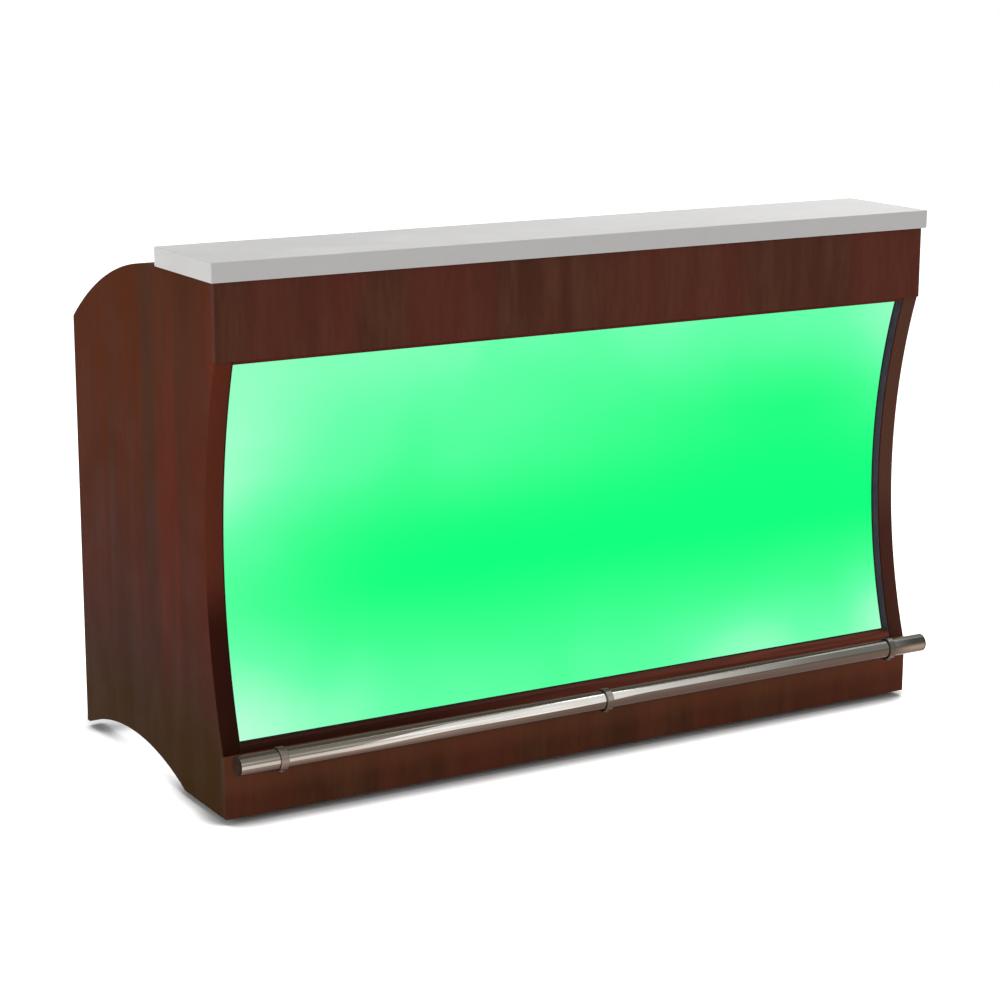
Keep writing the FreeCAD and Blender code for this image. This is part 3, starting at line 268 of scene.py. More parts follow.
def veneer_grain():
    """Straight grain of figure, streaks, lines and open pores, long in the direction of small stretch."""
    wires, given, wanted = shader_group(
        "Veneer grain",
        [
            ("Vector", VECTOR, None),
            ("Stretch", VECTOR, (10.0, 10.0, 0.9)),
            ("Deep", COLOUR, None),
            ("Pale", COLOUR, None),
            ("Red", COLOUR, None),
            ("Redness", FLOAT, 0.5),
            ("Seed", FLOAT, 0.0),
        ],
        [("Color", COLOUR), ("Height", FLOAT), ("Roughness", FLOAT)],
    )
    stretched = wires.vector("MULTIPLY", given["Vector"], given["Stretch"])
    place = wires.vector("ADD", stretched, given["Seed"])
    figure = wires.noise(place, 0.55, 2.0, 0.5, 0.6)
    streak = wires.noise(place, 2.1, 5.0, 0.6, 0.35)
    line = wires.noise(place, 11.0, 3.0, 0.6)
    pore = wires.noise(place, 46.0, 2.0, 0.5)
    body = wires.blend(wires.span(streak, 0.34, 0.66), given["Deep"], given["Pale"])
    red_share = wires.times(wires.span(figure, 0.36, 0.62), given["Redness"])
    reddened = wires.blend(red_share, body, given["Red"])
    lined = wires.blend(wires.span(line, 0.42, 0.68, 0.0, 0.32), reddened, given["Deep"])
    pores = wires.span(pore, 0.60, 0.70)
    wires.feed(wanted["Color"], wires.blend(wires.times(pores, 0.30), lined, given["Deep"]))
    ridges = wires.times(line, 0.4)
    wires.feed(wanted["Height"], wires.minus(ridges, pores))
    wires.feed(wanted["Roughness"], wires.span(streak, 0.3, 0.7, 0.40, 0.54))
    return wires.tree


def edge_wear():
    """Mask of edges that hands and feet rub, broken up by noise."""
    wires, given, wanted = shader_group(
        "Edge wear",
        [("Vector", VECTOR, None), ("Width", FLOAT, 0.002), ("Amount", FLOAT, 0.5)],
        [("Mask", FLOAT)],
    )
    rounded = wires.node("ShaderNodeBevel", {"Radius": given["Width"]}, samples=4).outputs["Normal"]
    straight = wires.node("ShaderNodeNewGeometry").outputs["True Normal"]
    bend = wires.minus(1.0, wires.vector("DOT_PRODUCT", rounded, straight))
    patches = wires.span(wires.noise(given["Vector"], 60.0, 3.0, 0.6), 0.40, 0.62)
    lightened = wires.times(wires.span(bend, 0.02, 0.20), patches)
    wires.feed(wanted["Mask"], wires.times(lightened, given["Amount"], clamp=True))
    return wires.tree


def handling_marks():
    """Roughness that drifts with wiping and smudges, and fine scratches that cross each other."""
    wires, given, wanted = shader_group(
        "Handling marks",
        [("Vector", VECTOR, None), ("Low", FLOAT, 0.3), ("High", FLOAT, 0.5)],
        [("Roughness", FLOAT), ("Scratches", FLOAT)],
    )
    smudge = wires.noise(given["Vector"], 6.0, 4.0, 0.6, 0.8)
    drift = wires.span(smudge, 0.32, 0.68)
    spread = wires.minus(given["High"], given["Low"])
    wires.feed(wanted["Roughness"], wires.plus(wires.times(drift, spread), given["Low"]))
    across = wires.noise(wires.vector("MULTIPLY", given["Vector"], (12.0, 420.0, 420.0)), 1.0, 1.0)
    along = wires.noise(wires.vector("MULTIPLY", given["Vector"], (380.0, 14.0, 14.0)), 1.0, 1.0)
    crossing = wires.sums("MAXIMUM", wires.span(across, 0.70, 0.78), wires.span(along, 0.72, 0.80))
    wires.feed(wanted["Scratches"], wires.times(crossing, drift))
    return wires.tree


def brushed_sheet():
    """Fine brushed lines, long in the direction of small stretch, with slow changes of shade."""
    wires, given, wanted = shader_group(
        "Brushed sheet",
        [
            ("Vector", VECTOR, None),
            ("Stretch", VECTOR, (4.0, 900.0, 900.0)),
            ("Color", COLOUR, None),
            ("Low", FLOAT, 0.24),
            ("High", FLOAT, 0.40),
        ],
        [("Color", COLOUR), ("Roughness", FLOAT), ("Height", FLOAT)],
    )
    place = wires.vector("MULTIPLY", given["Vector"], given["Stretch"])
    lines = wires.noise(place, 1.0, 3.0, 0.7)
    cloud = wires.noise(given["Vector"], 5.0, 3.0, 0.5)
    shade = wires.plus(wires.span(lines, 0.25, 0.75, 0.0, 0.16), wires.span(cloud, 0.3, 0.7, 0.0, 0.10))
    wires.feed(wanted["Color"], wires.blend(shade, given["Color"], (0.05, 0.05, 0.055, 1.0)))
    keys = {"Value": lines, "From Min": 0.25, "From Max": 0.75}
    keys.update({"To Min": given["Low"], "To Max": given["High"]})
    wires.feed(wanted["Roughness"], wires.node("ShaderNodeMapRange", keys).outputs["Result"])
    wires.feed(wanted["Height"], lines)
    return wires.tree


def settled_dust():
    """Mask of dust on faces that look up, thicker in patches."""
    wires, given, wanted = shader_group(
        "Settled dust",
        [("Vector", VECTOR, None), ("Amount", FLOAT, 0.3)],
        [("Mask", FLOAT)],
    )
    normal = wires.node("ShaderNodeNewGeometry").outputs["Normal"]
    level = wires.span(wires.axes(normal)["Z"], 0.35, 0.95)
    patches = wires.span(wires.noise(given["Vector"], 9.0, 5.0, 0.6), 0.35, 0.75)
    wires.feed(wanted["Mask"], wires.times(wires.times(level, patches), given["Amount"]))
    return wires.tree


def cast_surface():
    """Uneven skin of plated, moulded and coated parts: slow waves, fine orange peel and specks."""
    wires, given, wanted = shader_group(
        "Cast surface",
        [
            ("Vector", VECTOR, None),
            ("Color", COLOUR, None),
            ("Stain", COLOUR, None),
            ("Fineness", FLOAT, 260.0),
        ],
        [("Color", COLOUR), ("Height", FLOAT), ("Roughness", FLOAT)],
    )
    waves = wires.noise(given["Vector"], 30.0, 4.0, 0.6)
    peel = wires.node("ShaderNodeTexNoise", {"Vector": given["Vector"], "Scale": given["Fineness"]})
    specks = wires.span(wires.noise(given["Vector"], 900.0, 1.0), 0.70, 0.80)
    stained = wires.blend(wires.span(waves, 0.40, 0.72, 0.0, 0.5), given["Color"], given["Stain"])
    wires.feed(wanted["Color"], wires.blend(wires.times(specks, 0.4), stained, given["Stain"]))
    wires.feed(wanted["Height"], wires.plus(peel.outputs["Fac"], wires.times(waves, 0.5)))
    wires.feed(wanted["Roughness"], wires.span(waves, 0.3, 0.7, 0.0, 0.16))
    return wires.tree


GROUPS = {}
GROUP_MAKERS = {
    "grain": veneer_grain,
    "wear": edge_wear,
    "marks": handling_marks,
    "brushed": brushed_sheet,
    "dust": settled_dust,
    "cast": cast_surface,
}


def effect(name):
    """A shared effect, built the first time that a material asks for it."""
    if name not in GROUPS:
        GROUPS[name] = GROUP_MAKERS[name]()
    return GROUPS[name]


def surface(name, constants):
    """A material with one Principled shader; its constants go straight onto the shader's own sockets."""
    material = bpy.data.materials.new(name)
    material.use_nodes = True
    shader = material.node_tree.nodes["Principled BSDF"]
    for label, value in constants.items():
        shader.inputs[label].default_value = value
    return material, Wiring(material.node_tree), shader.inputs


def settings():
    return bpy.context.scene.bar_finish


# How stretched the grain is along X, Y and Z, on upright boards and on level ones
FRONT_GRAIN = (9.0, 9.0, 1.4)
SIDE_GRAIN = (11.0, 11.0, 0.8)
WALL_GRAIN = (9.0, 9.0, 0.9)
DECK_GRAIN = (0.9, 9.0, 9.0)
BEAD_GRAIN = (1.2, 40.0, 40.0)

# Painted light: the kick board grows paler upwards below the foot rail, where the rail shades it; heights,
# and the share of pale at each
PAINTED_LIGHT_BELOW_RAIL = (rail_axis.z - 0.095, rail_axis.z - 0.045, 0.0, 0.30)


def laminate(name, deep, pale, red, stretch, redness, seed, index=1.1, ends=None, lightened=None):
    """Dark satin laminate with straight grain.

    ends is the tone of the narrow faces left and right. lightened is a painted light tone below the foot
    rail, where the rail shades the board.
    """
    material, wires, skin = surface(name, {"IOR": index})
    place = wires.place()
    grain = wires.group(
        effect("grain"), Vector=place, Stretch=stretch, Deep=deep, Pale=pale, Red=red,
        Redness=redness, Seed=seed,
    )
    colour = grain["Color"]
    # Painted light below the foot rail, where its shade falls on the board
    if lightened:
        below_rail = wires.span(wires.axes(place)["Z"], *PAINTED_LIGHT_BELOW_RAIL)
        colour = wires.blend(below_rail, colour, lightened)
    if ends:
        turned_aside = wires.span(wires.sums("ABSOLUTE", wires.facing()["X"]), 0.5, 0.9, 0.0, 0.9)
        colour = wires.blend(turned_aside, colour, ends)
    finish_laminate(wires, skin, place, grain, colour)
    return material


def finish_laminate(wires, skin, place, grain, colour):
    """Rubbed edges, wiped roughness and fine pores over a laminate's colour."""
    worn = wires.group(effect("wear"), Vector=place, Width=0.0016, Amount=0.35)["Mask"]
    marks = wires.group(effect("marks"), Vector=place, Low=0.0, High=0.10)
    wires.feed(skin["Base Color"], wires.blend(worn, colour, tone(122, 80, 56)))
    wires.feed(skin["Roughness"], wires.plus(grain["Roughness"], marks["Roughness"]))
    wires.feed(skin["Normal"], wires.bump(grain["Height"], 0.00005, 0.5))


# How the side panels change with height or distance: from, to, and the share at each, or else from 0 to 1
DUSK_BY_HEIGHT = (0.34, 0.80, 0.78, 0.0)
FOOT_BY_HEIGHT = (0.10, 0.30, 0.92, 0.0)
RED_BY_HEIGHT = (0.10, 0.44, 0.12, 1.0)
RED_BEHIND_EDGE = (0.0, 0.30, 1.0, 0.30)
# Painted shade on the stiles: darker at the foot, greyer on the right, black along the inner arris
STILE_SHADE_BY_HEIGHT = (0.36, 0.50)
LEFT_TO_RIGHT = (-0.1, 0.1)
ARRIS_SHADE = (opening_half + 0.0018, opening_half + 0.0034, 0.85, 0.0)


def nearness_to_front_edge(wires, axes):
    """One on the concave front edge of the side panels, falling to a third towards the back."""
    squares = wires.squared_distance(axes["Y"], axes["Z"], (front_centre_y, front_mid_z))
    return wires.span(wires.minus(wires.sums("SQRT", squares), front_radius), *RED_BEHIND_EDGE)


def stile_colour(wires, axes):
    """Front edges of the side panels, in painted shade: dark at the foot, greyer on the right, black at the
    inner arris.
    """
    s = settings()
    on_right = wires.span(axes["X"], *LEFT_TO_RIGHT)
    shaded_foot_tone = wires.blend(on_right, s.stile_shaded_foot, tone(84, 50, 42))
    edge_tone = wires.blend(on_right, s.stile_red, tone(104, 72, 60))
    stile = wires.blend(wires.span(axes["Z"], *STILE_SHADE_BY_HEIGHT), shaded_foot_tone, edge_tone)
    arris = wires.span(wires.sums("ABSOLUTE", axes["X"]), *ARRIS_SHADE)
    return wires.blend(arris, stile, tone(20, 14, 14))


def side_laminate():
    """Amber-brown above, plum-brown below the middle, olive at the foot, redder at the concave edge."""
    s = settings()
    material, wires, skin = surface("Side panel laminate", {"IOR": 1.06})
    place = wires.place()
    axes = wires.axes(place)
    drift = wires.times(wires.minus(wires.noise(place, 2.2, 2.0), 0.5), 0.30)
    height = wires.plus(axes["Z"], drift)
    dusk_share = wires.span(height, *DUSK_BY_HEIGHT)
    foot_share = wires.span(height, *FOOT_BY_HEIGHT)
    deep_above = wires.blend(dusk_share, s.side_deep, wires.blend(0.25, s.side_dusk, s.side_deep))
    pale_above = wires.blend(dusk_share, s.side_pale, s.side_dusk)
    deep = wires.blend(foot_share, deep_above, wires.blend(0.3, s.side_foot, s.side_deep))
    pale = wires.blend(foot_share, pale_above, s.side_foot)
    near = nearness_to_front_edge(wires, axes)
    above_foot = wires.span(axes["Z"], *RED_BY_HEIGHT)
    grain = wires.group(
        effect("grain"), Vector=place, Stretch=SIDE_GRAIN, Deep=deep, Pale=pale, Red=s.side_red,
        Redness=wires.times(near, above_foot), Seed=3.0,
    )
    flush = wires.times(wires.times(near, near), wires.times(above_foot, 0.38))
    flushed = wires.blend(flush, grain["Color"], s.side_red)
    turned_front = wires.span(wires.facing()["Y"], -0.9, -0.5, 1.0, 0.0)
    colour = wires.blend(wires.times(turned_front, 0.72), flushed, stile_colour(wires, axes))
    finish_laminate(wires, skin, place, grain, colour)
    return material


def fascia_laminate():
    s = settings()
    return laminate(
        "Fascia laminate", s.front_deep, s.front_pale, s.front_red, FRONT_GRAIN, 0.6, 11.0,
        ends=tone(80, 38, 22),
    )


def kick_laminate():
    s = settings()
    return laminate(
        "Kick board laminate", s.kick_deep, s.kick_pale, s.kick_red, FRONT_GRAIN, 0.6, 11.0,
        # Painted light: the pale tone below the foot rail
        ends=tone(58, 36, 15), lightened=tone(148, 90, 62),
    )


# Places along X between which the lower bead goes from painted shade on the left to pale on the right
BEAD_SHADE_FADE = (-0.50, 0.25)


def bead_stain():
    """Red-brown stain; on the lower bead a painted shade darkens the left, where the foot rail shades it, and
    the right is paler.
    """
    material, wires, skin = surface("Stained bead", {"IOR": 1.1})
    place = wires.place()
    axes = wires.axes(place)
    lower = wires.span(axes["Z"], front_mid_z - 0.1, front_mid_z + 0.1, 1.0, 0.0)
    # Painted shade on the left of the lower bead, paler on the right
    shade_faded = wires.blend(wires.span(axes["X"], *BEAD_SHADE_FADE), tone(68, 31, 23), tone(138, 74, 58))
    pale = wires.blend(lower, settings().bead_tone, shade_faded)
    deep = wires.blend(0.55, pale, tone(20, 9, 6))
    grain = wires.group(
        effect("grain"), Vector=place, Stretch=BEAD_GRAIN, Deep=deep, Pale=pale, Red=pale,
        Redness=0.4, Seed=7.0,
    )
    finish_laminate(wires, skin, place, grain, grain["Color"])
    return material


def board_laminate():
    s = settings()
    return laminate("Inner board", s.board_deep, s.board_pale, tone(86, 60, 48), WALL_GRAIN, 0.4, 19.0, 1.3)


def level_board_laminate():
    s = settings()
    red = tone(86, 60, 48)
    return laminate("Level inner board", s.board_deep, s.board_pale, red, DECK_GRAIN, 0.4, 23.0, 1.3)


def counter_stone():
    """Solid surface: pale grey with fine particles, wiped to a satin."""
    material, wires, skin = surface("Counter solid surface", {"Specular IOR Level": 0.42, "IOR": 1.49})
    place = wires.place()
    cell = wires.node("ShaderNodeTexVoronoi", {"Vector": place, "Scale": 520.0}).outputs["Color"]
    grit = wires.span(wires.axes(cell)["X"], 0.80, 0.96, 0.0, 0.05)
    pale_grit = wires.span(wires.axes(cell)["Y"], 0.84, 0.98, 0.0, 0.16)
    cloud = wires.span(wires.noise(place, 3.0, 4.0, 0.6), 0.3, 0.7, 0.0, 0.07)
    base = wires.blend(cloud, settings().counter_grey, tone(176, 174, 170))
    gritted = wires.blend(grit, base, tone(120, 118, 114))
    sparkled = wires.blend(pale_grit, gritted, tone(236, 236, 234))
    worn = wires.group(effect("wear"), Vector=place, Width=0.0024, Amount=0.5)["Mask"]
    marks = wires.group(effect("marks"), Vector=place, Low=0.34, High=0.50)
    wires.feed(skin["Base Color"], wires.blend(worn, sparkled, tone(240, 240, 238)))
    wires.feed(skin["Roughness"], marks["Roughness"])
    wires.feed(skin["Normal"], wires.bump(marks["Scratches"], 0.00002, 0.3))
    return material


# Soft pools on the lit panel: place along X, height, reach along X, reach in height, share of pale
GLOW_POOLS = (
    (-0.90, 0.63, 0.26, 0.19, 0.79),
    (-0.90, 0.17, 0.27, 0.19, 0.76),
    (-0.32, 0.68, 0.60, 0.12, 0.30),
    (-0.45, 0.14, 0.25, 0.12, 0.14),
    (0.42, 0.14, 0.16, 0.10, 0.26),
    (0.92, 0.78, 0.20, 0.16, 0.62),
    (0.92, 0.17, 0.22, 0.13, 0.60),
)


# Heights between which the panel pales towards its beads, and the share of pale at each
GLOW_TOP = (upper_bead_low.z - 0.226, upper_bead_low.z + 0.014, 0.0, 0.50)
GLOW_BOTTOM = (lower_bead_high.z - 0.03, lower_bead_high.z + 0.29, 0.35, 0.0)


def glow_share(wires, place):
    """How pale the lit panel is: the top and bottom edges and a few soft pools."""
    axes = wires.axes(place)
    share = wires.plus(wires.span(axes["Z"], *GLOW_TOP), wires.span(axes["Z"], *GLOW_BOTTOM))
    for x, z, reach_x, reach_z, strength in GLOW_POOLS:
        squares = wires.squared_distance(axes["X"], axes["Z"], (x, z), (reach_x, reach_z))
        pool = wires.sums("EXPONENT", wires.times(squares, -1.0))
        share = wires.plus(share, wires.times(pool, strength))
    cloud = wires.noise(place, 3.2, 2.0, 0.4, 0.5)
    return wires.times(share, wires.span(cloud, 0.25, 0.75, 0.84, 1.16), clamp=True)


def glow_ramp(wires, share):
    """Deep green, mint and near white by share, in even steps to the eye."""
    s = settings()
    ramp = wires.node("ShaderNodeValToRGB", {"Fac": share})
    ends = ramp.color_ramp.elements
    ends[0].color = s.glow_core
    ends[1].color = s.glow_pale
    for place, first, second, part in (
        (0.24, s.glow_core, s.glow_mid, 0.42),
        (0.48, s.glow_core, s.glow_mid, 1.00),
        (0.76, s.glow_mid, s.glow_pale, 0.50),
    ):
        stop = ends.new(place)
        stop.color = [low + (high - low) * part for low, high in zip(first, second)]
    return ramp.outputs["Color"]


def lit_sheet():
    """Translucent sheet that shows its own light, and a pale grey one in mirrors and on what it faces."""
    material, wires, skin = surface(
        "Lit sheet", {"Specular IOR Level": 0.3, "IOR": 1.1, "Emission Strength": 1.0}
    )
    place = wires.place()
    glow = glow_ramp(wires, glow_share(wires, place))
    seen = wires.node("ShaderNodeLightPath").outputs["Is Camera Ray"]
    wires.feed(skin["Emission Color"], wires.blend(seen, (0.34, 0.33, 0.30, 1.0), glow))
    fleck = wires.noise(place, 700.0, 1.0)
    wires.feed(skin["Base Color"], wires.blend(fleck, tone(0, 22, 8), tone(2, 30, 12)))
    marks = wires.group(effect("marks"), Vector=place, Low=0.42, High=0.55)
    wires.feed(skin["Roughness"], marks["Roughness"])
    return material


def light_tape():
    """White tape with its row of small lamps."""
    material, wires, skin = surface("Light tape", {"Specular IOR Level": 0.4})
    place = wires.place()
    lamps_per_metre = 30.0
    cells = wires.vector("MULTIPLY", place, (lamps_per_metre, lamps_per_metre, lamps_per_metre))
    spot = wires.node("ShaderNodeTexVoronoi", {"Vector": cells, "Scale": 1.0, "Randomness": 0.0})
    lamp = wires.span(spot.outputs["Distance"], 0.10, 0.14, 1.0, 0.0)
    wires.feed(skin["Base Color"], wires.blend(lamp, tone(232, 232, 228), tone(240, 214, 120)))
    marks = wires.group(effect("marks"), Vector=place, Low=0.3, High=0.45)
    wires.feed(skin["Roughness"], marks["Roughness"])
    return material


def brushed_steel(name, stretch, colour, low, high, worn_amount=0.25):
    material, wires, skin = surface(name, {"Metallic": 1.0})
    place = wires.place()
    sheet = wires.group(effect("brushed"), Vector=place, Stretch=stretch, Color=colour, Low=low, High=high)
    marks = wires.group(effect("marks"), Vector=place, Low=0.0, High=0.05)
    worn = wires.group(effect("wear"), Vector=place, Width=0.0012, Amount=worn_amount)["Mask"]
    wires.feed(skin["Base Color"], wires.blend(worn, sheet["Color"], tone(236, 236, 236)))
    wires.feed(skin["Roughness"], wires.plus(sheet["Roughness"], marks["Roughness"]))
    ridges = wires.minus(sheet["Height"], marks["Scratches"])
    wires.feed(skin["Normal"], wires.bump(ridges, 0.00001, 0.4))
    return material


def work_sheet():
    return brushed_steel("Brushed work sheet", (5.0, 700.0, 700.0), settings().work_steel, 0.26, 0.40)


# Painted highlight and painted reflections of the foot rail along X: from, to, and the value at each, or else
# from 0 to 1
BAND_LEAN_LEFT = (-0.60, -0.34, math.radians(2), math.radians(27))
BAND_LEAN_MIDDLE = (-0.24, 0.04, 0.0, math.radians(8))
BAND_EDGE_LEFT = (-0.66, -0.30, 0.980, 0.905)
BAND_EDGE_MIDDLE = (-0.30, -0.06, 0.0, -0.04)
BAND_EDGE_RIGHT = (-0.03, 0.10, 0.0, 0.080)
HIGHLIGHT_LEFT = (-0.66, -0.25, 0.40, 1.0)
HIGHLIGHT_RIGHT = (-0.05, 0.60)
HIGHLIGHT_RIGHT_END_SHARE = 0.10
BEYOND_BOARD = (opening_half - 0.06, opening_half + 0.01)
TOP_REFLECTION_TO_RIGHT = (0.0, 0.75)
UNDER_REFLECTION_TO_MIDDLE = (-0.50, 0.0)

# The same by how far the rail's surface looks up: where the deepest painted brown reflection ends, and where
# the painted grey one begins
DEEPEST_UNDER_REFLECTION = (-0.72, -0.18)
UNDER_TO_TOP_REFLECTION = (-0.05, 0.45)

# Places along Y, behind the rail's axis, between which its brackets go dark with painted shade
BRACKET_SHADE = (rail_axis.y + 0.020, rail_axis.y + 0.028)


def highlight_band(wires, x, normal):
    """One along the rail's painted highlight: a band that leans up towards the middle and is widest there."""
    lean = wires.plus(wires.span(x, *BAND_LEAN_LEFT), wires.span(x, *BAND_LEAN_MIDDLE))
    ahead = wires.times(normal["Y"], wires.times(wires.sums("COSINE", lean), -1.0))
    above = wires.times(normal["Z"], wires.sums("SINE", lean))
    left_edge = wires.plus(wires.span(x, *BAND_EDGE_LEFT), wires.span(x, *BAND_EDGE_MIDDLE))
    edge = wires.plus(left_edge, wires.span(x, *BAND_EDGE_RIGHT))
    full = wires.plus(wires.times(edge, 0.55), 0.45)
    return wires.span(wires.plus(ahead, above), edge, full)


def reflections_beside_highlight(wires, x, normal, beyond_board):
    """Painted reflections beside the highlight: grey on top of the rail and brown below, both changing along
    its length.
    """
    s = settings()
    right_end_top_reflection = wires.blend(beyond_board, tone(84, 82, 75), tone(66, 66, 60))
    top_reflection_tone = wires.blend(wires.span(x, *TOP_REFLECTION_TO_RIGHT), s.rail_top_reflection, right_end_top_reflection)
    middle_under_reflection = wires.blend(wires.span(x, *UNDER_REFLECTION_TO_MIDDLE), s.rail_under_reflection, tone(90, 72, 60))
    lower_under_reflection = wires.blend(beyond_board, middle_under_reflection, tone(138, 116, 102))
    reflection = wires.blend(wires.span(normal["Z"], *DEEPEST_UNDER_REFLECTION), tone(70, 44, 32), lower_under_reflection)
    return wires.blend(wires.span(normal["Z"], *UNDER_TO_TOP_REFLECTION), reflection, top_reflection_tone)


def steel_with_painted_reflections(name, highlight_amount, rough):
    """Steel with painted reflections: a painted highlight along one band, a painted grey reflection above it
    and a painted brown one below.
    """
    s = settings()
    material, wires, skin = surface(name, {"Metallic": 1.0})
    place = wires.place()
    axes = wires.axes(place)
    x = axes["X"]
    normal = wires.facing()
    beyond_board = wires.span(x, *BEYOND_BOARD)
    highlight_right = wires.span(x, *HIGHLIGHT_RIGHT, highlight_amount, highlight_amount * HIGHLIGHT_RIGHT_END_SHARE)
    kept_right = wires.times(highlight_right, wires.minus(1.0, beyond_board))
    kept_highlight = wires.times(wires.span(x, *HIGHLIGHT_LEFT), kept_right)
    # Painted highlight band over the painted reflections beside it
    band = wires.times(highlight_band(wires, x, normal), kept_highlight)
    colour = wires.blend(band, reflections_beside_highlight(wires, x, normal, beyond_board), s.rail_highlight)
    sheet = wires.group(
        effect("brushed"), Vector=place, Stretch=(2.5, 900.0, 900.0), Color=colour,
        Low=rough, High=rough + 0.09,
    )
    marks = wires.group(effect("marks"), Vector=place, Low=0.0, High=0.12)
    worn = wires.group(effect("wear"), Vector=place, Width=0.0012, Amount=0.3)["Mask"]
    # Painted shade on the bracket parts behind the rail, in a dark brown
    behind = wires.span(axes["Y"], *BRACKET_SHADE)
    brightened = wires.blend(worn, sheet["Color"], s.rail_highlight)
    wires.feed(skin["Base Color"], wires.blend(behind, brightened, tone(52, 44, 38)))
    wires.feed(skin["Roughness"], wires.plus(sheet["Roughness"], marks["Roughness"]))
    ridges = wires.minus(sheet["Height"], marks["Scratches"])
    wires.feed(skin["Normal"], wires.bump(ridges, 0.00001, 0.4))
    return material


def rail_polish():
    return steel_with_painted_reflections("Rail with painted reflections", 1.0, 0.10)


def collar_polish():
    return steel_with_painted_reflections("Rail collar", 0.20, 0.22)


def handle_polish():
    return brushed_steel("Handle steel", (3.0, 800.0, 800.0), tone(210, 210, 208), 0.12, 0.22)


def cast_part(name, colour, stain, constants, base_roughness, fineness=260.0, peel_depth=0.00003):
    """Plated, coated or moulded part: its own skin, worn edges and dust."""
    material, wires, skin = surface(name, constants)
    place = wires.place()
    cast = wires.group(effect("cast"), Vector=place, Color=colour, Stain=stain, Fineness=fineness)
    worn = wires.group(effect("wear"), Vector=place, Width=0.0010, Amount=0.35)["Mask"]
    dust = wires.group(effect("dust"), Vector=place, Amount=0.14)["Mask"]
    lightened = wires.blend(worn, cast["Color"], wires.blend(0.5, colour, tone(235, 235, 235)))
    wires.feed(skin["Base Color"], wires.blend(dust, lightened, tone(150, 144, 134)))
    dulled = wires.plus(cast["Roughness"], wires.times(dust, 0.5))
    wires.feed(skin["Roughness"], wires.plus(dulled, base_roughness))
    wires.feed(skin["Normal"], wires.bump(cast["Height"], peel_depth, 0.5))
    return material


def caster_plating():
    return cast_part("Caster plating", settings().zinc, tone(128, 130, 128), {"Metallic": 1.0}, 0.30)


def bolt_plating():
    return cast_part("Bolt plating", tone(166, 168, 170), tone(116, 114, 108), {"Metallic": 1.0}, 0.26)


def driver_anodised():
    return cast_part("Driver housing", settings().driver_grey, tone(140, 142, 144), {"Metallic": 1.0}, 0.38)


def nickelled_brass():
    return cast_part("Nickelled brass", tone(196, 186, 160), tone(150, 132, 92), {"Metallic": 1.0}, 0.22)


def lever_coat():
    gloss = {"Specular IOR Level": 0.5, "Coat Roughness": 0.2, "IOR": 1.5}
    return cast_part("Lever coating", settings().lever_red, tone(120, 22, 22), gloss, 0.34)


def black_moulding():
    return cast_part("Black moulding", settings().black_moulding, tone(22, 22, 24), {"IOR": 1.5}, 0.42, 600.0)


def pedal_coat():
    return cast_part("Pedal coating", tone(40, 40, 42), tone(26, 26, 28), {"IOR": 1.5}, 0.44, 400.0)


def cap_moulding():
    return cast_part("Rail cap", tone(52, 31, 20), tone(38, 23, 15), {"IOR": 1.06}, 0.44, 500.0)


def lead_sheath():
    return cast_part("Lead sheath", tone(40, 40, 40), tone(26, 26, 26), {"IOR": 1.5}, 0.5, 500.0)


def glazing_rubber():
    dull = {"Specular IOR Level": 0.2}
    return cast_part("Glazing rubber", tone(16, 18, 18), tone(10, 11, 11), dull, 0.6, 500.0)


def channel_finish():
    gloss = {"Specular IOR Level": 0.35}
    return cast_part("Channel", settings().channel_tone, tone(30, 34, 44), gloss, 0.42, 500.0)


def bin_foam():
    dull = {"Specular IOR Level": 0.2}
    return cast_part("Bin foam", tone(224, 221, 206), tone(212, 207, 190), dull, 0.7, 1500.0, 0.0002)


def mark_moulding():
    return cast_part("Mark moulding", tone(222, 222, 218), tone(200, 200, 194), {"IOR": 1.5}, 0.45, 600.0)


def clear_sealant():
    gloss = {"IOR": 1.4}
    return cast_part("Sealant", tone(196, 197, 196), tone(172, 170, 164), gloss, 0.30, 300.0, 0.00005)


def sleeve_vinyl():
    gloss = {"IOR": 1.5, "Specular IOR Level": 0.5}
    return cast_part("Lever sleeve", tone(150, 26, 24), tone(112, 18, 18), gloss, 0.36, 700.0, 0.00005)


WHEEL_CORE_RADIUS = 0.0285
TREAD_SEAM = 0.0002


def wheel_rubber(node):
    """Dark tread round a grey moulded core, told apart by the distance from the axle."""
    low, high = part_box(node)
    centre = ((low.y + high.y) / 2, (low.z + high.z) / 2)
    material, wires, skin = surface("Wheel " + node.replace("caster_wheel_", ""), {"IOR": 1.5})
    s = settings()
    place = wires.place()
    axes = wires.axes(place)
    reach = wires.sums("SQRT", wires.squared_distance(axes["Y"], axes["Z"], centre))
    tread = wires.span(reach, WHEEL_CORE_RADIUS - TREAD_SEAM, WHEEL_CORE_RADIUS + TREAD_SEAM)
    core_stain = tone(70, 72, 76)
    cast = wires.group(effect("cast"), Vector=place, Color=s.wheel_core, Stain=core_stain, Fineness=500.0)
    tyre = wires.group(effect("cast"), Vector=place, Color=s.tyre, Stain=tone(70, 66, 60), Fineness=300.0)
    dust = wires.group(effect("dust"), Vector=place, Amount=0.2)["Mask"]
    scuffs = wires.span(wires.noise(place, 120.0, 4.0, 0.7), 0.52, 0.70, 0.0, 0.4)
    rolled = wires.blend(wires.times(scuffs, tread), tyre["Color"], tone(104, 98, 90))
    joined = wires.blend(tread, cast["Color"], rolled)
    wires.feed(skin["Base Color"], wires.blend(dust, joined, tone(140, 134, 124)))
    wires.feed(skin["Roughness"], wires.plus(wires.times(tread, 0.22), 0.45))
    wires.feed(skin["Normal"], wires.bump(wires.plus(tyre["Height"], tread), 0.0001, 0.5))
    return material


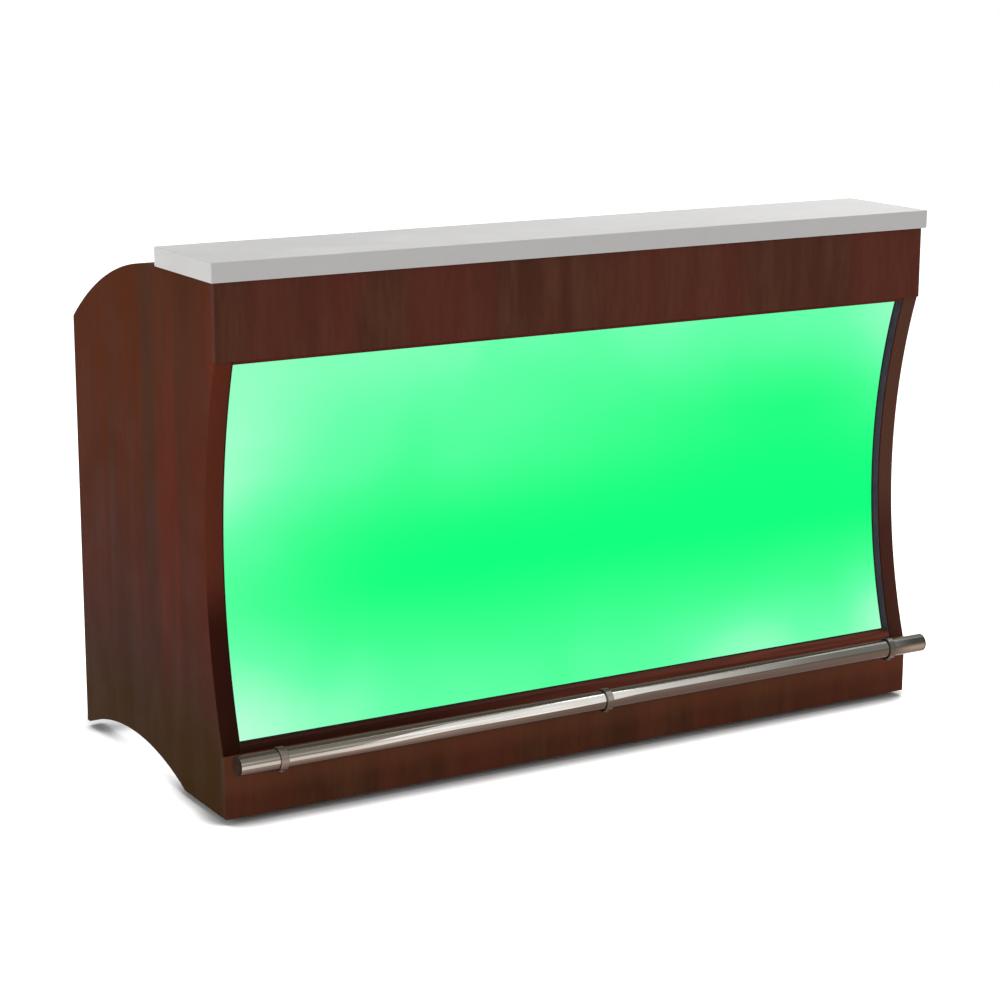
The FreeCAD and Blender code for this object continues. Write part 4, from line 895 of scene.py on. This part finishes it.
FINISHES = (
    (side_laminate, ("side_panel_left", "side_panel_right", "work_top_apron")),
    (fascia_laminate, ("fascia_board",)),
    (kick_laminate, ("kick_board",)),
    (bead_stain, ("panel_bead_upper", "panel_bead_lower")),
    (board_laminate, ("inner_wall", "centre_divider")),
    (level_board_laminate, ("base_deck", "storage_shelf", "light_box_top")),
    (level_board_laminate, ("work_top_board", "work_top_battens", "counter_cleats")),
    (counter_stone, ("counter_slab",)),
    (lit_sheet, ("light_panel",)),
    (light_tape, ("light_strips",)),
    (lead_sheath, ("strip_lead",)),
    (driver_anodised, ("driver_housing",)),
    (black_moulding, ("switch_bezel", "switch_rocker", "power_inlet")),
    (work_sheet, ("work_top_skin", "bottle_rail", "ice_bin_liner", "ice_bin_lid")),
    (handle_polish, ("lid_handle", "lid_hinge_leaves", "lid_hinge_knuckles")),
    (bin_foam, ("ice_bin_insulation",)),
    (nickelled_brass, ("drain_valve",)),
    (lever_coat, ("drain_lever",)),
    (rail_polish, ("foot_rail_tube",)),
    (collar_polish, ("rail_bracket_left", "rail_bracket_centre", "rail_bracket_right")),
    (cap_moulding, ("foot_rail_caps",)),
    (bolt_plating, ("shelf_pins", "driver_screws", "rail_bracket_screws", "caster_bolts")),
    (pedal_coat, ("brake_pedal_rear_left", "brake_pedal_rear_right")),
)
CORNERS = ("front_left", "front_right", "rear_left", "rear_right")
EASED_BOARDS = (
    "side_panel_left", "side_panel_right", "fascia_board", "kick_board", "work_top_apron", "inner_wall",
    "centre_divider", "base_deck", "storage_shelf",
)
MADE = {}


def finish_of(maker):
    """The material that a maker gives, made once."""
    if maker.__name__ not in MADE:
        MADE[maker.__name__] = maker()
    return MADE[maker.__name__]


def dress(node, material):
    """Puts a material on a construction piece in place of its plain one."""
    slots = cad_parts[node].data.materials
    slots.clear()
    slots.append(material)


def ease_edges(node, width):
    """Small rounded edges on a board, as laminate has after trimming."""
    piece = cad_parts[node]
    weld = piece.modifiers.new("Seams", "WELD")
    weld.merge_threshold = 0.00001
    flats = piece.modifiers.new("Whole flats", "DECIMATE")
    flats.decimate_type = "DISSOLVE"
    flats.angle_limit = math.radians(0.4)
    ease = piece.modifiers.new("Eased edges", "BEVEL")
    ease.width = width
    ease.segments = 2
    ease.limit_method = "ANGLE"
    ease.angle_limit = math.radians(40)
    ease.use_clamp_overlap = False
    ease.harden_normals = True


def place_object(name, data):
    """A new object in the scene that shows a mesh, a lamp or a camera."""
    made = bpy.data.objects.new(name, data)
    bpy.context.scene.collection.objects.link(made)
    return made


def mesh_data(name, mesh, material):
    """The finished mesh of one material; the bmesh that it comes from is freed."""
    data = bpy.data.meshes.new(name)
    mesh.to_mesh(data)
    mesh.free()
    data.materials.append(material)
    return data


def piece_from(name, mesh, maker, body):
    """A finished mesh piece that rides on a body."""
    bmesh.ops.recalc_face_normals(mesh, faces=mesh.faces)
    data = mesh_data(name, mesh, finish_of(maker))
    data.shade_smooth()
    piece = place_object(name, data)
    split = piece.modifiers.new("Crisp edges", "EDGE_SPLIT")
    split.split_angle = math.radians(38)
    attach(piece, body)
    return piece


def join_rings(mesh, rings, looped=False):
    """Joins rings of points with faces. The first and last ring are closed, or joined when looped."""
    rows = [[mesh.verts.new(point) for point in ring] for ring in rings]
    if looped:
        rows.append(rows[0])
    for row, after in zip(rows, rows[1:]):
        for index, vert in enumerate(row):
            following = (index + 1) % len(row)
            mesh.faces.new((vert, row[following], after[following], after[index]))
    if not looped:
        mesh.faces.new(list(reversed(rows[0])))
        mesh.faces.new(rows[-1])


def piece_from_rings(name, rings, maker, body):
    """A finished piece of one row of rings, closed at both ends."""
    mesh = bmesh.new()
    join_rings(mesh, rings)
    return piece_from(name, mesh, maker, body)


def turned(mesh, centre, axis, profile, sides=32, outline=None, looped=False):
    """A turned form from (radius, height) pairs; a pair with True after it follows the outline."""
    turn = Vector((0, 0, 1)).rotation_difference(Vector(axis)).to_matrix()
    rings = []
    for radius, height, *shape in profile:
        ring = []
        for side in range(sides):
            angle = full_turn * side / sides
            reach = radius * (outline(angle) if shape and outline else 1.0)
            spoke = Vector((reach * math.cos(angle), reach * math.sin(angle), height))
            ring.append(Vector(centre) + turn @ spoke)
        rings.append(ring)
    join_rings(mesh, rings, looped)


def raised_bar(mesh, centre, along, axis, length, width, height):
    """A low bar with chamfered upper edges, sunk a little into the surface that carries it."""
    up = Vector(axis).normalized()
    forward = (Vector(along) - up * up.dot(Vector(along))).normalized()
    across = up.cross(forward)
    chamfer = height * 0.35
    rings = []
    for inset, level in ((0.0, -height * 0.5), (0.0, height - chamfer), (chamfer, height)):
        half_length = length / 2 - inset
        half_width = width / 2 - inset
        ring = []
        for end, side in ((-1, -1), (1, -1), (1, 1), (-1, 1)):
            corner = forward * half_length * end + across * half_width * side
            ring.append(Vector(centre) + corner + up * level)
        rings.append(ring)
    join_rings(mesh, rings)


def hexagon(angle):
    """Radius of a hexagon by angle, as a share of its corner radius."""
    return math.cos(math.pi / 6) / math.cos(angle % (math.pi / 3) - math.pi / 6)


def cross(angle):
    """Radius of a cross recess by angle, as a share of its arm length."""
    from_arm = abs((angle + math.pi / 4) % (math.pi / 2) - math.pi / 4)
    return 1.0 if from_arm < math.radians(14) else 0.34


def screw_head(mesh, centre, axis, radius, height, outline):
    """Domed head, seated on a surface, with a recess that has the outline's shape."""
    recess_radius = radius * 0.52
    recess_depth = height * 0.55
    profile = [
        (radius * 0.96, -height * 0.2),
        (radius, height * 0.12),
        (radius * 0.98, height * 0.45),
        (radius * 0.84, height * 0.82),
        (radius * 0.66, height),
        (recess_radius, height, True),
        (recess_radius * 0.9, height - recess_depth, True),
        (recess_radius * 0.2, height - recess_depth * 1.2),
    ]
    turned(mesh, centre, axis, profile, 36, outline)


def front_y(radius, z):
    """Place along Y of an arc of the concave front at a height."""
    return front_centre_y + math.sqrt(radius ** 2 - (z - front_mid_z) ** 2)


# A place on a surface is found along a line that starts this far outside it
PROBE_REACH = 0.06


def hit(node, start, direction):
    """Where a line first meets a construction piece, and the surface's direction there."""
    found, place, normal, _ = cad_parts[node].ray_cast(Vector(start), Vector(direction).normalized())
    if not found:
        raise RuntimeError("no surface of " + node + " from " + str(tuple(start)))
    return place, normal


SIDES = (("left", -1), ("right", 1))
ARC_STEPS = 56

# The channels start this far behind the side panels' front edges, and end this far short of the light panel
CHANNEL_SETBACK = 0.0012
PANEL_CLEARANCE = 0.0002
STRIP_CROWN_SHARE = 0.85


def panel_face_y(z):
    """Place along Y, at a height, just in front of the light panel's face, where the trim meets it."""
    return front_y(panel_face_radius, z) - PANEL_CLEARANCE


class BAR_OT_finishes(Operator):
    """Dress every construction piece in its own finish and ease the boards' edges"""

    bl_idname = "portable_bar.finishes"
    bl_label = "Finishes"

    def execute(self, context):
        for maker, nodes in FINISHES:
            for node in nodes:
                dress(node, finish_of(maker))
        for corner in CORNERS:
            for part in ("caster_plate_", "caster_fork_"):
                dress(part + corner, finish_of(caster_plating))
            dress("caster_axle_" + corner, finish_of(bolt_plating))
            dress("caster_wheel_" + corner, wheel_rubber("caster_wheel_" + corner))
        for node in EASED_BOARDS:
            ease_edges(node, context.scene.bar_trim.board_ease)
        ease_edges("counter_slab", context.scene.bar_trim.counter_ease)
        return {"FINISHED"}


class BAR_OT_glazing(Operator):
    """Rubber strips round the light panel and dark channels down both side panels"""

    bl_idname = "portable_bar.glazing"
    bl_label = "Glazing strips"

    def execute(self, context):
        trim = context.scene.bar_trim
        low, high = lower_bead_high.z, upper_bead_low.z
        heights = [low + (high - low) * step / ARC_STEPS for step in range(ARC_STEPS + 1)]
        for label, side in SIDES:
            self.upright_trim(trim, label, side, heights)
        for label, z, up in (("lower", low, 1), ("upper", high, -1)):
            self.level_strip(trim, label, z, up)
        return {"FINISHED"}

    def upright_trim(self, trim, label, side, heights):
        """The channel on one side panel, and the strip that fills its corner with the light panel."""
        wall = side * opening_half
        inner = side * (opening_half - trim.channel_thickness)
        lip = side * (opening_half - trim.channel_thickness - trim.strip_width)
        channel = []
        strip = []
        for z in heights:
            start = front_y(front_radius, z) + CHANNEL_SETBACK
            face = panel_face_y(z)
            channel.append([(wall, start, z), (inner, start, z), (inner, face, z), (wall, face, z)])
            strip.append([
                (inner, face, z),
                (inner, face - trim.strip_rise, z),
                ((inner + lip) / 2, face - trim.strip_rise * STRIP_CROWN_SHARE, z),
                (lip, face, z),
            ])
        piece_from_rings("channel_" + label, channel, channel_finish, "bar_body")
        piece_from_rings("glazing_strip_" + label, strip, glazing_rubber, "bar_body")

    def level_strip(self, trim, label, z, up):
        """The strip between the light panel and one of its beads."""
        tip = z + up * trim.strip_width
        face = panel_face_y(z)
        rings = []
        for x in (-opening_half, opening_half):
            rings.append([
                (x, face, z),
                (x, face - trim.strip_rise, z),
                (x, face - trim.strip_rise * STRIP_CROWN_SHARE, (z + tip) / 2),
                (x, panel_face_y(tip), tip),
            ])
        piece_from_rings("glazing_strip_" + label, rings, glazing_rubber, "bar_body")


class BAR_OT_rail_trim(Operator):
    """Set screws in the collars of the foot rail"""

    bl_idname = "portable_bar.rail_trim"
    bl_label = "Rail set screws"

    def execute(self, context):
        radius = context.scene.bar_trim.set_screw_radius
        head_height = 0.0010
        below_level = math.radians(62)
        axis = Vector((0, -math.cos(below_level), -math.sin(below_level)))
        mesh = bmesh.new()
        for node in ("rail_bracket_left", "rail_bracket_centre", "rail_bracket_right"):
            low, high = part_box(node)
            x = (low.x + high.x) / 2
            start = Vector((x, rail_axis.y, rail_axis.z)) + axis * PROBE_REACH
            place, _ = hit(node, start, -axis)
            screw_head(mesh, place, axis, radius, head_height, hexagon)
        piece_from("collar_set_screws", mesh, pedal_coat, "bar_body")
        return {"FINISHED"}


class BAR_OT_switch_marks(Operator):
    """Raised on and off marks on the light switch"""

    bl_idname = "portable_bar.switch_marks"
    bl_label = "Switch marks"

    def execute(self, context):
        height = context.scene.bar_trim.mark_height
        stroke = height * 0.17
        rise = 0.0002
        low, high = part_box("switch_rocker")
        x = (low.x + high.x) / 2
        start_y = high.y + PROBE_REACH
        inset = (high.z - low.z) * 0.26
        mesh = bmesh.new()
        place, normal = hit("switch_rocker", (x, start_y, high.z - inset), (0, -1, 0))
        raised_bar(mesh, place, (0, 0, 1), normal, height, stroke, rise)
        place, normal = hit("switch_rocker", (x, start_y, low.z + inset), (0, -1, 0))
        outer = height / 2
        inner = outer - stroke
        top = rise * 0.7
        profile = [(inner, -rise), (outer, -rise), (outer, top), (inner, top)]
        turned(mesh, place, normal, profile, 40, looped=True)
        piece_from("switch_marks", mesh, mark_moulding, "switch_rocker")
        return {"FINISHED"}


class BAR_OT_drain_trim(Operator):
    """Lock nut, hose barbs and strainer of the drain, and the sleeve on its lever"""

    bl_idname = "portable_bar.drain_trim"
    bl_label = "Drain trim"

    def execute(self, context):
        trim = context.scene.bar_trim
        foam_low, foam_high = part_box("ice_bin_insulation")
        valve_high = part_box("drain_valve")[1]
        x = (foam_low.x + foam_high.x) / 2
        y = (foam_low.y + foam_high.y) / 2
        self.lock_nut(trim, x, y, foam_low.z)
        self.barbs(trim, x, valve_high.y)
        self.strainer(x, y, valve_high.z)
        self.lever_sleeve(trim)
        return {"FINISHED"}

    def lock_nut(self, trim, x, y, seat_z):
        """Hexagon nut on the drain pipe, up against the insulation."""
        height = trim.nut_height
        foot = seat_z - height
        pipe, _ = hit("drain_valve", (x - PROBE_REACH, y, foot + height / 2), (1, 0, 0))
        bore = x - pipe.x
        corner = bore * 1.5
        chamfer = height * 0.12
        profile = [
            (bore, 0.0),
            (corner * 0.93, 0.0, True),
            (corner, chamfer, True),
            (corner, height - chamfer, True),
            (corner * 0.93, height, True),
            (bore, height),
        ]
        mesh = bmesh.new()
        turned(mesh, (x, y, foot), (0, 0, 1), profile, 36, hexagon, looped=True)
        piece_from("drain_lock_nut", mesh, nickelled_brass, "bar_body")

    def barbs(self, trim, x, mouth_y):
        """Three barbs that hold a hose on the outlet."""
        barb_count = 3
        pitch = 0.0068
        end_land = 0.001
        probe_y = mouth_y - 0.010
        above_outlet, below_outlet = 0.56, 0.40
        top, _ = hit("drain_valve", (x, probe_y, above_outlet), (0, 0, -1))
        under, _ = hit("drain_valve", (x, probe_y, below_outlet), (0, 0, 1))
        radius = (top.z - under.z) / 2
        profile = [
            (radius * 0.99, 0.0),
            (radius + trim.barb_rise, 0.0005),
            (radius + trim.barb_rise * 0.9, 0.0010),
            (radius * 0.99, pitch * 0.92),
        ]
        mesh = bmesh.new()
        for barb in range(barb_count):
            centre = (x, mouth_y - end_land - pitch * (barb + 1), (top.z + under.z) / 2)
            turned(mesh, centre, (0, 1, 0), profile, 40, looped=True)
        piece_from("drain_hose_barbs", mesh, nickelled_brass, "bar_body")

    def strainer(self, x, y, seat_z):
        """Two rings, a button and eight spokes over the hole in the bin's floor."""
        rim_radii, ring_radii = (0.0082, 0.0106), (0.0042, 0.0054)
        foot, ring_top = -0.0001, 0.0010
        button_profile = [(0.0019, foot), (0.0019, 0.0009), (0.0012, 0.0014)]
        spokes = 8
        spoke_middle, spoke_length, spoke_width, spoke_height = 0.0050, 0.0076, 0.0010, 0.0007
        centre = Vector((x, y, seat_z))
        up = (0, 0, 1)
        mesh = bmesh.new()
        for inner, outer in (rim_radii, ring_radii):
            bevel = (outer - inner) * 0.2
            profile = [(inner, foot), (outer, foot), (outer - bevel, ring_top), (inner + bevel, ring_top)]
            turned(mesh, centre, up, profile, 40, looped=True)
        turned(mesh, centre, up, button_profile, 24)
        for spoke in range(spokes):
            angle = full_turn * spoke / spokes
            along = Vector((math.cos(angle), math.sin(angle), 0))
            middle = centre + along * spoke_middle
            raised_bar(mesh, middle, along, up, spoke_length, spoke_width, spoke_height)
        piece_from("drain_strainer", mesh, handle_polish, "bar_body")

    def lever_sleeve(self, trim):
        """Dipped vinyl sleeve on the lever, with grip grooves and a round tip."""
        mouth, mouth_lip = -0.036, -0.0352
        grooves, first_groove, groove_pitch, groove_slope = 5, -0.031, 0.006, 0.001
        tip_steps = 8
        low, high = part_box("drain_lever")
        z = (low.z + high.z) / 2
        x = (low.x + high.x) / 2
        edge, _ = hit("drain_lever", (x, high.y - 0.020, high.z + PROBE_REACH), (0, 0, -1))
        arm = edge.z - z
        half_x = (high.x - low.x) / 2 + trim.sleeve_wall
        half_z = arm + trim.sleeve_wall
        tip_y = high.y - arm
        stations = [(mouth, 0.90), (mouth_lip, 1.0)]
        for groove in range(grooves):
            start = first_groove + groove * groove_pitch
            for slope, share in enumerate((1.0, 0.94, 0.94, 1.0)):
                stations.append((start + groove_slope * slope, share))
        rings = [self.sleeve_ring(x, tip_y + y, z, half_x * share, half_z * share) for y, share in stations]
        for step in range(tip_steps + 1):
            angle = math.radians(80) * step / tip_steps
            reach = half_z * math.sin(angle)
            slim = 1.0 - 0.22 * math.sin(angle) ** 4
            rings.append(self.sleeve_ring(x, tip_y + reach, z, half_x * slim, half_z * math.cos(angle)))
        piece_from_rings("drain_lever_sleeve", rings, sleeve_vinyl, "drain_lever")

    def sleeve_ring(self, x, y, z, half_x, half_z):
        """A rounded rectangle across the lever."""
        ring = []
        points = 28
        for point in range(points):
            angle = full_turn * point / points
            across = math.copysign(abs(math.cos(angle)) ** 0.5, math.cos(angle))
            up = math.copysign(abs(math.sin(angle)) ** 0.5, math.sin(angle))
            ring.append((x + half_x * across, y, z + half_z * up))
        return ring


# Places of the screws along the bottle rail, as shares of its half length, and along a hinge's half leaf
BOTTLE_RAIL_SCREW_SHARES = (-0.84, -0.42, 0.0, 0.42, 0.84)
HINGE_SCREW_SHARES = (-0.6, 0.6)


class BAR_OT_work_side_screws(Operator):
    """Screws of the bottle rail and of the lid's hinges"""

    bl_idname = "portable_bar.work_side_screws"
    bl_label = "Work side screws"

    def execute(self, context):
        trim = context.scene.bar_trim
        low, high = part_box("bottle_rail")
        below_top, head_height = 0.016, 0.0020
        mesh = bmesh.new()
        for share in BOTTLE_RAIL_SCREW_SHARES:
            start = (high.x * share, (low.y + high.y) / 2, high.z - below_top)
            place, normal = hit("bottle_rail", start, (0, -1, 0))
            screw_head(mesh, place, normal, trim.wood_screw_radius, head_height, cross)
        piece_from("bottle_rail_screws", mesh, bolt_plating, "bar_body")
        low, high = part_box("lid_hinge_leaves")
        half_leaf, from_edge, head_height = 0.025, 0.0062, 0.0010
        mesh = bmesh.new()
        for centre in (low.x + half_leaf, high.x - half_leaf):
            for share in HINGE_SCREW_SHARES:
                start = (centre + half_leaf * share, low.y + from_edge, high.z + PROBE_REACH)
                place, normal = hit("lid_hinge_leaves", start, (0, 0, -1))
                screw_head(mesh, place, normal, trim.hinge_screw_radius, head_height, cross)
        piece_from("lid_hinge_screws", mesh, bolt_plating, "bar_body")
        return {"FINISHED"}


class BAR_OT_sealant(Operator):
    """Beads of sealant where the steel work top meets the side panels and the inner wall"""

    bl_idname = "portable_bar.sealant"
    bl_label = "Sealant"

    def execute(self, context):
        width = context.scene.bar_trim.sealant_width
        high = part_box("work_top_skin")[1]
        wall_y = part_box("inner_wall")[1].y
        beside_wall, over_deck, under_edge, front_stop = 0.02, 0.1, 0.01, 0.002
        section = self.cove(width)
        for label, side in SIDES:
            wall = side * opening_half
            x = wall - side * beside_wall
            deck, _ = hit("work_top_skin", (x, over_deck, high.z + PROBE_REACH), (0, 0, -1))
            upstand, _ = hit("work_top_skin", (x, over_deck, high.z - under_edge), (0, -1, 0))
            along_deck = []
            for y in (upstand.y, high.y - front_stop):
                along_deck.append([(wall - side * across, y, deck.z + up) for across, up in section])
            up_corner = []
            for z in (deck.z, high.z):
                up_corner.append([(wall - side * across, upstand.y + ahead, z) for across, ahead in section])
            mesh = bmesh.new()
            join_rings(mesh, along_deck)
            join_rings(mesh, up_corner)
            piece_from("sealant_" + label, mesh, clear_sealant, "bar_body")
        rings = []
        for x in (-opening_half, opening_half):
            rings.append([(x, wall_y + ahead, high.z + up) for ahead, up in self.cove(width * 0.7)])
        piece_from_rings("sealant_back", rings, clear_sealant, "bar_body")
        return {"FINISHED"}

    def cove(self, width):
        """Section of a bead wiped to a hollow: the corner, then out along one face and back up the other."""
        reach = width * 0.94
        steps = 5
        points = [(0.0, 0.0), (width, 0.0)]
        for step in range(1, steps):
            angle = math.pi / 2 * step / steps
            points.append((width - reach * math.sin(angle), width - reach * math.cos(angle)))
        return points + [(0.0, width)]


class BAR_OT_pedal_ridges(Operator):
    """Grip ridges across the treads of the brake pedals"""

    bl_idname = "portable_bar.pedal_ridges"
    bl_label = "Pedal ridges"

    def execute(self, context):
        insets = (0.0065, 0.0100, 0.0135)
        ridge_width, ridge_height = 0.0014, 0.0007
        for corner in ("rear_left", "rear_right"):
            node = "brake_pedal_" + corner
            low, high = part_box(node)
            x = (low.x + high.x) / 2
            length = (high.x - low.x) * 0.52
            mesh = bmesh.new()
            for inset in insets:
                place, normal = hit(node, (x, high.y - inset, high.z + PROBE_REACH), (0, 0, -1))
                raised_bar(mesh, place, (1, 0, 0), normal, length, ridge_width, ridge_height)
            piece_from("pedal_ridges_" + corner, mesh, pedal_coat, node)
        return {"FINISHED"}


class BAR_OT_studio(Operator):
    """Pale floor, white room, soft lamps and the camera"""

    bl_idname = "portable_bar.studio"
    bl_label = "Studio"

    def execute(self, context):
        studio = context.scene.bar_studio
        make_floor(studio)
        make_world(studio)
        make_lamps(studio)
        make_camera(studio)
        context.scene.view_settings.view_transform = "Standard"
        return {"FINISHED"}


def seen_rays(wires):
    """One for rays of the camera, of reflections and of glass."""
    path = wires.node("ShaderNodeLightPath").outputs
    seen = wires.sums("MAXIMUM", path["Is Camera Ray"], path["Is Glossy Ray"])
    return wires.sums("MAXIMUM", seen, path["Is Transmission Ray"])


# The shadow of the bar on the floor is kept this close to its foot, and the floor is white beyond
SHADOW_REACH = 0.085

# Distances behind the kick board's foot where the shade there starts and ends
KICK_SHADE_START = (-0.004, 0.006)
KICK_SHADE_END = (0.050, 0.100, 1.0, 0.0)

# Middle of the shade at a rear foot, across from the bar's middle and behind the kick board, and its reaches
HEEL_CENTRE = (opening_half - 0.010, side_high.y - kick_low.y + 0.005)
HEEL_REACHES = (0.075, 0.095)
HEEL_FADE = (0.10, 1.0, 0.62, 0.0)

# Along the side panels, from these places on, the floor clears a little nearer to the bar
BESIDE_ACROSS = (0.55, 0.70)
BESIDE_INWARD = (0.02, 0.14)
BESIDE_EARLIER = 0.10

# Openness at which the floor starts to clear, how much more makes it white, and the light that this adds
CLEAR_START = 0.55
CLEAR_SPAN = 0.31
FLOOR_LIFT = 0.96


def kick_shade(wires, inward, across):
    """One on the floor just behind the foot of the kick board, where no light reaches."""
    strip = wires.times(wires.span(inward, *KICK_SHADE_START), wires.span(inward, *KICK_SHADE_END))
    return wires.times(strip, wires.span(across, opening_half, side_high.x, 1.0, 0.0))


def heel_shade(wires, inward, across):
    """Soft patches on the floor inside the rear feet of the side panels."""
    return wires.span(wires.squared_distance(across, inward, HEEL_CENTRE, HEEL_REACHES), *HEEL_FADE)


def make_floor(studio):
    """A plain pale floor that keeps the shadow of the bar and is white beyond it."""
    mesh = bmesh.new()
    reach = studio.floor_reach
    corners = [(-reach, -reach, 0), (reach, -reach, 0), (reach, reach, 0), (-reach, reach, 0)]
    mesh.faces.new([mesh.verts.new(corner) for corner in corners])
    place_object("studio_floor", mesh_data("studio_floor", mesh, floor_paint()))


def floor_paint():
    """Pale matt grey that is lifted to white where nothing stands near."""
    material = bpy.data.materials.new("Pale floor")
    material.use_nodes = True
    wires = Wiring(material.node_tree)
    wires.tree.nodes.clear()
    place = wires.place()
    grain = wires.span(wires.noise(place, 40.0, 3.0), 0.3, 0.7, 0.0, 1.0)
    pale = wires.blend(grain, (0.80, 0.80, 0.80, 1.0), (0.83, 0.83, 0.83, 1.0))
    soft = wires.node("ShaderNodeBsdfDiffuse", {"Color": pale}).outputs[0]
    near = wires.node("ShaderNodeAmbientOcclusion", {"Distance": SHADOW_REACH}, samples=16).outputs["AO"]
    axes = wires.axes(place)
    across = wires.sums("ABSOLUTE", axes["X"])
    inward = wires.minus(axes["Y"], kick_low.y)
    beside = wires.times(wires.span(across, *BESIDE_ACROSS), wires.span(inward, *BESIDE_INWARD))
    darkest = wires.minus(CLEAR_START, wires.times(beside, BESIDE_EARLIER))
    clear = wires.span(near, darkest, wires.plus(darkest, CLEAR_SPAN))
    shade = wires.sums("MAXIMUM", kick_shade(wires, inward, across), heel_shade(wires, inward, across))
    open_share = wires.times(clear, wires.minus(1.0, shade))
    lift = wires.times(wires.times(seen_rays(wires), open_share), FLOOR_LIFT)
    white = wires.node("ShaderNodeEmission", {"Strength": lift}).outputs[0]
    both = wires.node("ShaderNodeAddShader", {0: soft, 1: white}).outputs[0]
    wires.node("ShaderNodeOutputMaterial", {"Surface": both})
    return material


def make_world(studio):
    """White room: plain white where it is seen or mirrored, and a soft even light on the object."""
    world = bpy.data.worlds.new("White room")
    bpy.context.scene.world = world
    world.use_nodes = True
    wires = Wiring(world.node_tree)
    wires.tree.nodes.clear()
    spread = wires.minus(1.0, studio.ambient)
    strength = wires.plus(wires.times(seen_rays(wires), spread), studio.ambient)
    light = wires.node("ShaderNodeBackground", {"Color": (1.0, 1.0, 1.0, 1.0), "Strength": strength})
    wires.node("ShaderNodeOutputWorld", {"Surface": light.outputs[0]})


def make_lamps(studio):
    """Large soft lamps: on the left, in front and above the right end. The side lamp isn't mirrored."""
    lamps = (
        ("side_lamp", studio.side_lamp, (-4.6, -0.6, 1.4), (0.0, 0.0, 0.6), 2.6),
        ("front_lamp", studio.front_lamp, (1.0, -5.0, 2.6), (0.0, 0.0, 0.5), 2.4),
        ("top_lamp", studio.top_lamp, (2.2, 0.6, 3.6), (0.3, 0.0, 1.0), 2.2),
    )
    for name, power, place, aim, size in lamps:
        data = bpy.data.lights.new(name, "AREA")
        data.energy = power
        data.size = size
        lamp = place_object(name, data)
        lamp.location = place
        lamp.rotation_euler = (Vector(aim) - Vector(place)).to_track_quat("-Z", "Y").to_euler()
        lamp.visible_camera = False
        lamp.visible_glossy = name != "side_lamp"


# The camera stands in front of the left end, turned to the right and a little down
CAMERA_AHEAD = 4.1876
CAMERA_PLACE = (-2.6963, kick_low.y - CAMERA_AHEAD, 1.7147)
CAMERA_YAW = 0.5343
CAMERA_PITCH = 0.2316
CAMERA_ROLL = 0.0033


def make_camera(studio):
    data = bpy.data.cameras.new("studio_camera")
    data.lens = studio.lens
    camera = place_object("studio_camera", data)
    level = Matrix.Rotation(math.pi / 2 - CAMERA_PITCH, 4, "X")
    turned_right = Matrix.Rotation(-CAMERA_YAW, 4, "Z")
    rolled = Matrix.Rotation(CAMERA_ROLL, 4, "Z")
    camera.matrix_world = Matrix.Translation(CAMERA_PLACE) @ turned_right @ level @ rolled
    bpy.context.scene.camera = camera


class BAR_PT_panel(Panel):
    """Lists the bar's pieces, finishes and studio"""

    bl_label = "Portable bar"
    bl_idname = "BAR_PT_panel"
    bl_space_type = "VIEW_3D"
    bl_region_type = "UI"
    bl_category = "Portable bar"

    def draw(self, context):
        layout = self.layout
        for group in (context.scene.bar_finish, context.scene.bar_trim, context.scene.bar_studio):
            column = layout.column(align=True)
            for name in group.__annotations__:
                column.prop(group, name)
        for operator in OPERATORS:
            layout.operator(operator.bl_idname)


OPERATORS = (
    BAR_OT_studio, BAR_OT_finishes, BAR_OT_glazing, BAR_OT_rail_trim, BAR_OT_switch_marks, BAR_OT_drain_trim,
    BAR_OT_work_side_screws, BAR_OT_sealant, BAR_OT_pedal_ridges,
)
CLASSES = (BarFinishSettings, BarTrimSettings, BarStudioSettings, *OPERATORS, BAR_PT_panel)


def register():
    for kind in CLASSES:
        bpy.utils.register_class(kind)
    bpy.types.Scene.bar_finish = PointerProperty(type=BarFinishSettings)
    bpy.types.Scene.bar_trim = PointerProperty(type=BarTrimSettings)
    bpy.types.Scene.bar_studio = PointerProperty(type=BarStudioSettings)


def unregister():
    del bpy.types.Scene.bar_studio
    del bpy.types.Scene.bar_trim
    del bpy.types.Scene.bar_finish
    for kind in reversed(CLASSES):
        bpy.utils.unregister_class(kind)


def main():
    register()
    for operator in OPERATORS:
        category, name = operator.bl_idname.split(".")
        getattr(getattr(bpy.ops, category), name)()


if __name__ == "__main__":
    main()
